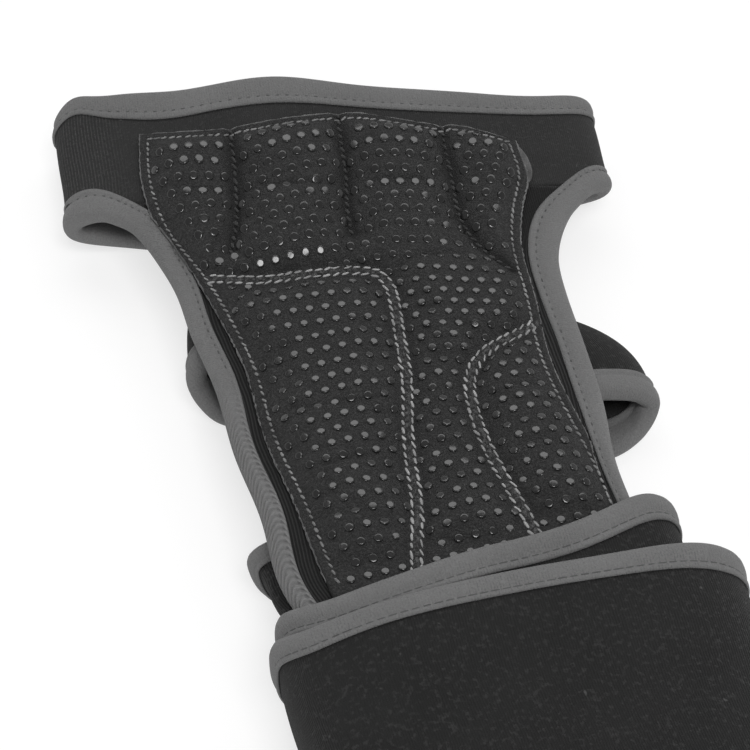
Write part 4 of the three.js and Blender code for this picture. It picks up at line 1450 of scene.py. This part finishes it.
# %% Folded corner
def fold_lip():
    """Rows of points out from the patch's edge. Their reach is a half wave along the corner, to
    the power 0.7, and their rise is three eighths of a wave across the lip."""
    rows = np.arange(int(0.875 * patch_rows), int(0.985 * patch_rows))
    edge, up = patch_face[rows, -1], patch_up[rows, -1]
    out = unit(np.cross(np.gradient(edge, axis=0), up))
    width = 1.25 * np.sin(np.linspace(0, math.pi, len(rows))) ** 0.7 + 0.10
    share = np.linspace(-0.25, 1, 9)[:, None]
    bow = 0.55 * np.sin(np.clip(share, 0, 1) * math.pi * 0.75)
    across = (share * width)[..., None]
    return edge[None] + out[None] * across + up[None] * (bow * np.minimum(width, 1.2))[..., None], up


lip, lip_up = fold_lip()
shell("patch_fold", lip, lip - 0.30 * lip_up[None], fold_fibre, "dotted_suede")

# %% [markdown]
# The strap over the back of the hand and the cuff are neoprene too. At the thumb's side the strap
# springs out in an arch, which is where the glove stands open; its two tapes are carried along the
# strap's own edges.

# %% Hand strap
strap_u, strap_length = evenly(strap_place, 0, 1, 221)
bound_from, bound_to = 0.085, 0.94
strap = neoprene_cloth("hand_strap_cloth", strap_place, strap_u, np.linspace(0, 1, 31), neoprene)
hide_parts("hand_strap")
bound = strap_u[(strap_u > bound_from) & (strap_u < bound_to)]
for edge, start, narrow in (("wrist", True, 1.0), ("finger", False, 0.75)):
    rail = edge_rail(strap_place, bound, strap_width, start)
    make_tape_piece(f"strap_tape_{edge}", rail, f"strap_binding_{edge}", narrow=narrow)

# %% Cuff
cuff_u, cuff_round = evenly(cuff_place, 0, 1, 201, 0.9)
cuff = neoprene_cloth("cuff_cloth", cuff_place, cuff_u, np.linspace(0, 1, 61), neoprene)
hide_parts("cuff")
bound = cuff_u[(cuff_u > bound_from) & (cuff_u < bound_to)]
cuff_rail = edge_rail(cuff_place, bound, cuff_length, False)
make_tape_piece("cuff_tape", cuff_rail, "cuff_binding", narrow=0.60)

# %% [markdown]
# The wrist wrap is one long strap. Its inner lap shows at the top, its outer lap covers most of
# it, and the two part toward the thumb's side. A spiral whose radius grows by the strap's own
# thickness each lap gives both laps in one surface.

# %% Wrist wrap
wrap_u, wrap_length = evenly(wrap_place, wound_from, wound_to, 401, 0.1)
wrap = neoprene_cloth("wrist_wrap_cloth", wrap_place, wrap_u, np.linspace(0, 1, 56), neoprene)
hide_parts("wrist_wrap")
wrap_narrowing = table(
    "at share",
    (-90, 0.72),
    (60, 0.84),
    (110, 0.76),
    (160, 0.70),
    (390, 0.82),
    (450, 0.60),
    (500, 0.62),
    (562, 0.74),
)
wrap_narrow = read(wrap_narrowing, "share", wrap_u)
for edge, start in (("upper", True), ("lower", False)):
    rail = edge_rail(wrap_place, wrap_u, wrap_height, start)
    make_tape_piece(f"wrap_tape_{edge}", rail, f"wrap_binding_{edge}", steps=13, narrow=wrap_narrow)
    tape_stitches(f"wrap_tape_{edge}_stitches", rail, wrap_narrow, 1.9, 1.85, 0.17)
print("wrap length in mm:", round(wrap_length))

# %% [markdown]
# The strap's end holds by a patch of hook tape sewn to its inner side, whose edge shows at the
# little finger's side. It is a thin sheet under the last stretch of the wrap, with tiny leaning
# hooks on it.

# %% Hook tab
tab_start, tab_end, tab_margin, tab_wall = 505, 566, 11, 0.5
tab_u = np.linspace(tab_start, tab_end, 60)
tab_v = np.linspace(tab_margin / wrap_height, 1 - tab_margin / wrap_height, 40)
tab_face = wrap_place(*np.meshgrid(tab_u, tab_v))
tab_up = normals_of(tab_face)
tab_face = tab_face - tab_up * (wall_neoprene + seam_gap)
tab = shell("hook_tab_cloth", tab_face, tab_face - tab_up * tab_wall, hook_tape, "hook_tape")
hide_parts("hook_tab")


def hook_places():
    """Even rows of places on the tab's inner face, with the normals there."""
    u = np.linspace(tab_start + 3, tab_end - 2, 22)
    v = np.linspace(tab_v[0] + 0.02, tab_v[-1] - 0.02, 26)
    place = wrap_place(*np.meshgrid(u, v))
    up = normals_of(place)
    place = place - up * (wall_neoprene + seam_gap + tab_wall)
    return place.reshape(-1, 3), up.reshape(-1, 3)


hook_place, hook_up = hook_places()
lean_way = rng.normal(0, 0.25, hook_place.shape)
hook_side = np.array([0.0, 0.0, 1.0]) + lean_way
copies("hooks", capsule(0.8, 0.13, rings=4), hook_place - hook_up * 0.05, lean_way - hook_up, hook_side,
       hook_tape)

# %% [markdown]
# The stage is a pale table in a dim room with two soft lights: a wide one beyond the glove, which
# the flat drops mirror as grey, and a brighter one behind the camera, which lights the cloth and
# shows as white in the few drops that face it. The surround is bright only near the horizon, so
# that drops tipped to the ceiling look black. The table glows a little itself, as a backlit one
# does, and keeps the shadows faint.

# %% Table and lights
def make_floor():
    """A plane that glows a little by itself."""
    bpy.ops.mesh.primitive_plane_add(size=6)
    floor = bpy.context.object
    floor.name = "floor"
    s = Shader("floor_white", Roughness=0.9, Specular_IOR_Level=0.0, Emission_Strength=0.70)
    grain = s.noise(3.0)
    s.feed(Base_Color=s.blend(grain, 0.34, 0.36), Emission_Color=s.blend(grain, 0.97, 1.0))
    floor.data.materials.append(s.material)


def make_light(name, elevation, azimuth, distance, size, radiance):
    """A soft panel facing the glove. Its power is radiance * pi * area."""
    light = bpy.data.lights.new(name, "AREA")
    light.shape, light.size, light.size_y = "RECTANGLE", size[0], size[1]
    light.energy = radiance * math.pi * size[0] * size[1]
    lamp = bpy.data.objects.new(name, light)
    up, round_by = math.radians(elevation), math.radians(azimuth)
    out = Vector((math.sin(round_by) * math.cos(up), math.cos(round_by) * math.cos(up), math.sin(up)))
    lamp.location = out * distance
    lamp.rotation_mode = "QUATERNION"
    lamp.rotation_quaternion = out.to_track_quat("Z", "Y")
    bpy.context.scene.collection.objects.link(lamp)
    print(name, "light in watts:", round(light.energy, 1))


make_floor()
make_light("beyond", 50, 9, 1.2, (1.5, 0.62), 2.1)
make_light("behind_camera", 62, 170, 1.3, (0.6, 0.5), 9.4)

# %% Surround
horizon_glow, ceiling_glow = 0.95, 0.22
world = bpy.data.worlds.new("studio")
world.use_nodes = True
surround = world.node_tree.nodes
toward = surround.new("ShaderNodeTexCoord")
parts = surround.new("ShaderNodeSeparateXYZ")
fade = surround.new("ShaderNodeMapRange")
for socket, value in zip((1, 2, 3, 4), (0.0, 0.5, horizon_glow, ceiling_glow)):
    fade.inputs[socket].default_value = value
world.node_tree.links.new(toward.outputs["Generated"], parts.inputs[0])
world.node_tree.links.new(parts.outputs[2], fade.inputs[0])
world.node_tree.links.new(fade.outputs[0], surround["Background"].inputs[1])
surround["Background"].inputs[0].default_value = (1, 1, 1, 1)
bpy.context.scene.world = world
bpy.context.scene.view_settings.view_transform = "Standard"

# %% [markdown]
# Each cloth's flat size and area are printed. The flat sizes are the surfaces' own lengths, measured
# above.

# %% Flat sizes and areas of the cloths
def spread(surface, u, v):
    """A cloth's one-sided area in square metres: half the cross product of each cell's diagonals."""
    grid = surface(*np.meshgrid(u, v))
    one, other = grid[1:, 1:] - grid[:-1, :-1], grid[1:, :-1] - grid[:-1, 1:]
    return float(np.linalg.norm(np.cross(one, other), axis=-1).sum() / 2e6)


def declare(cloth, surface, u, v, width, length):
    """Prints a cloth's flat width and length, and its area."""
    area = spread(surface, u, v)
    print(cloth.name, "flat in mm:", round(width, 1), "by", round(length, 1))
    print("  area in cm2:", round(area * 1e4, 1))


whole = np.linspace(0, 1, 61)
declare(palm, palm_place, palm_u, palm_v, palm_flat_width, palm_length)
declare(strap, strap_place, strap_u, whole, strap_width, strap_length)
declare(cuff, cuff_place, cuff_u, whole, cuff_length, cuff_round)
declare(wrap, wrap_place, wrap_u, whole, wrap_height, wrap_length)
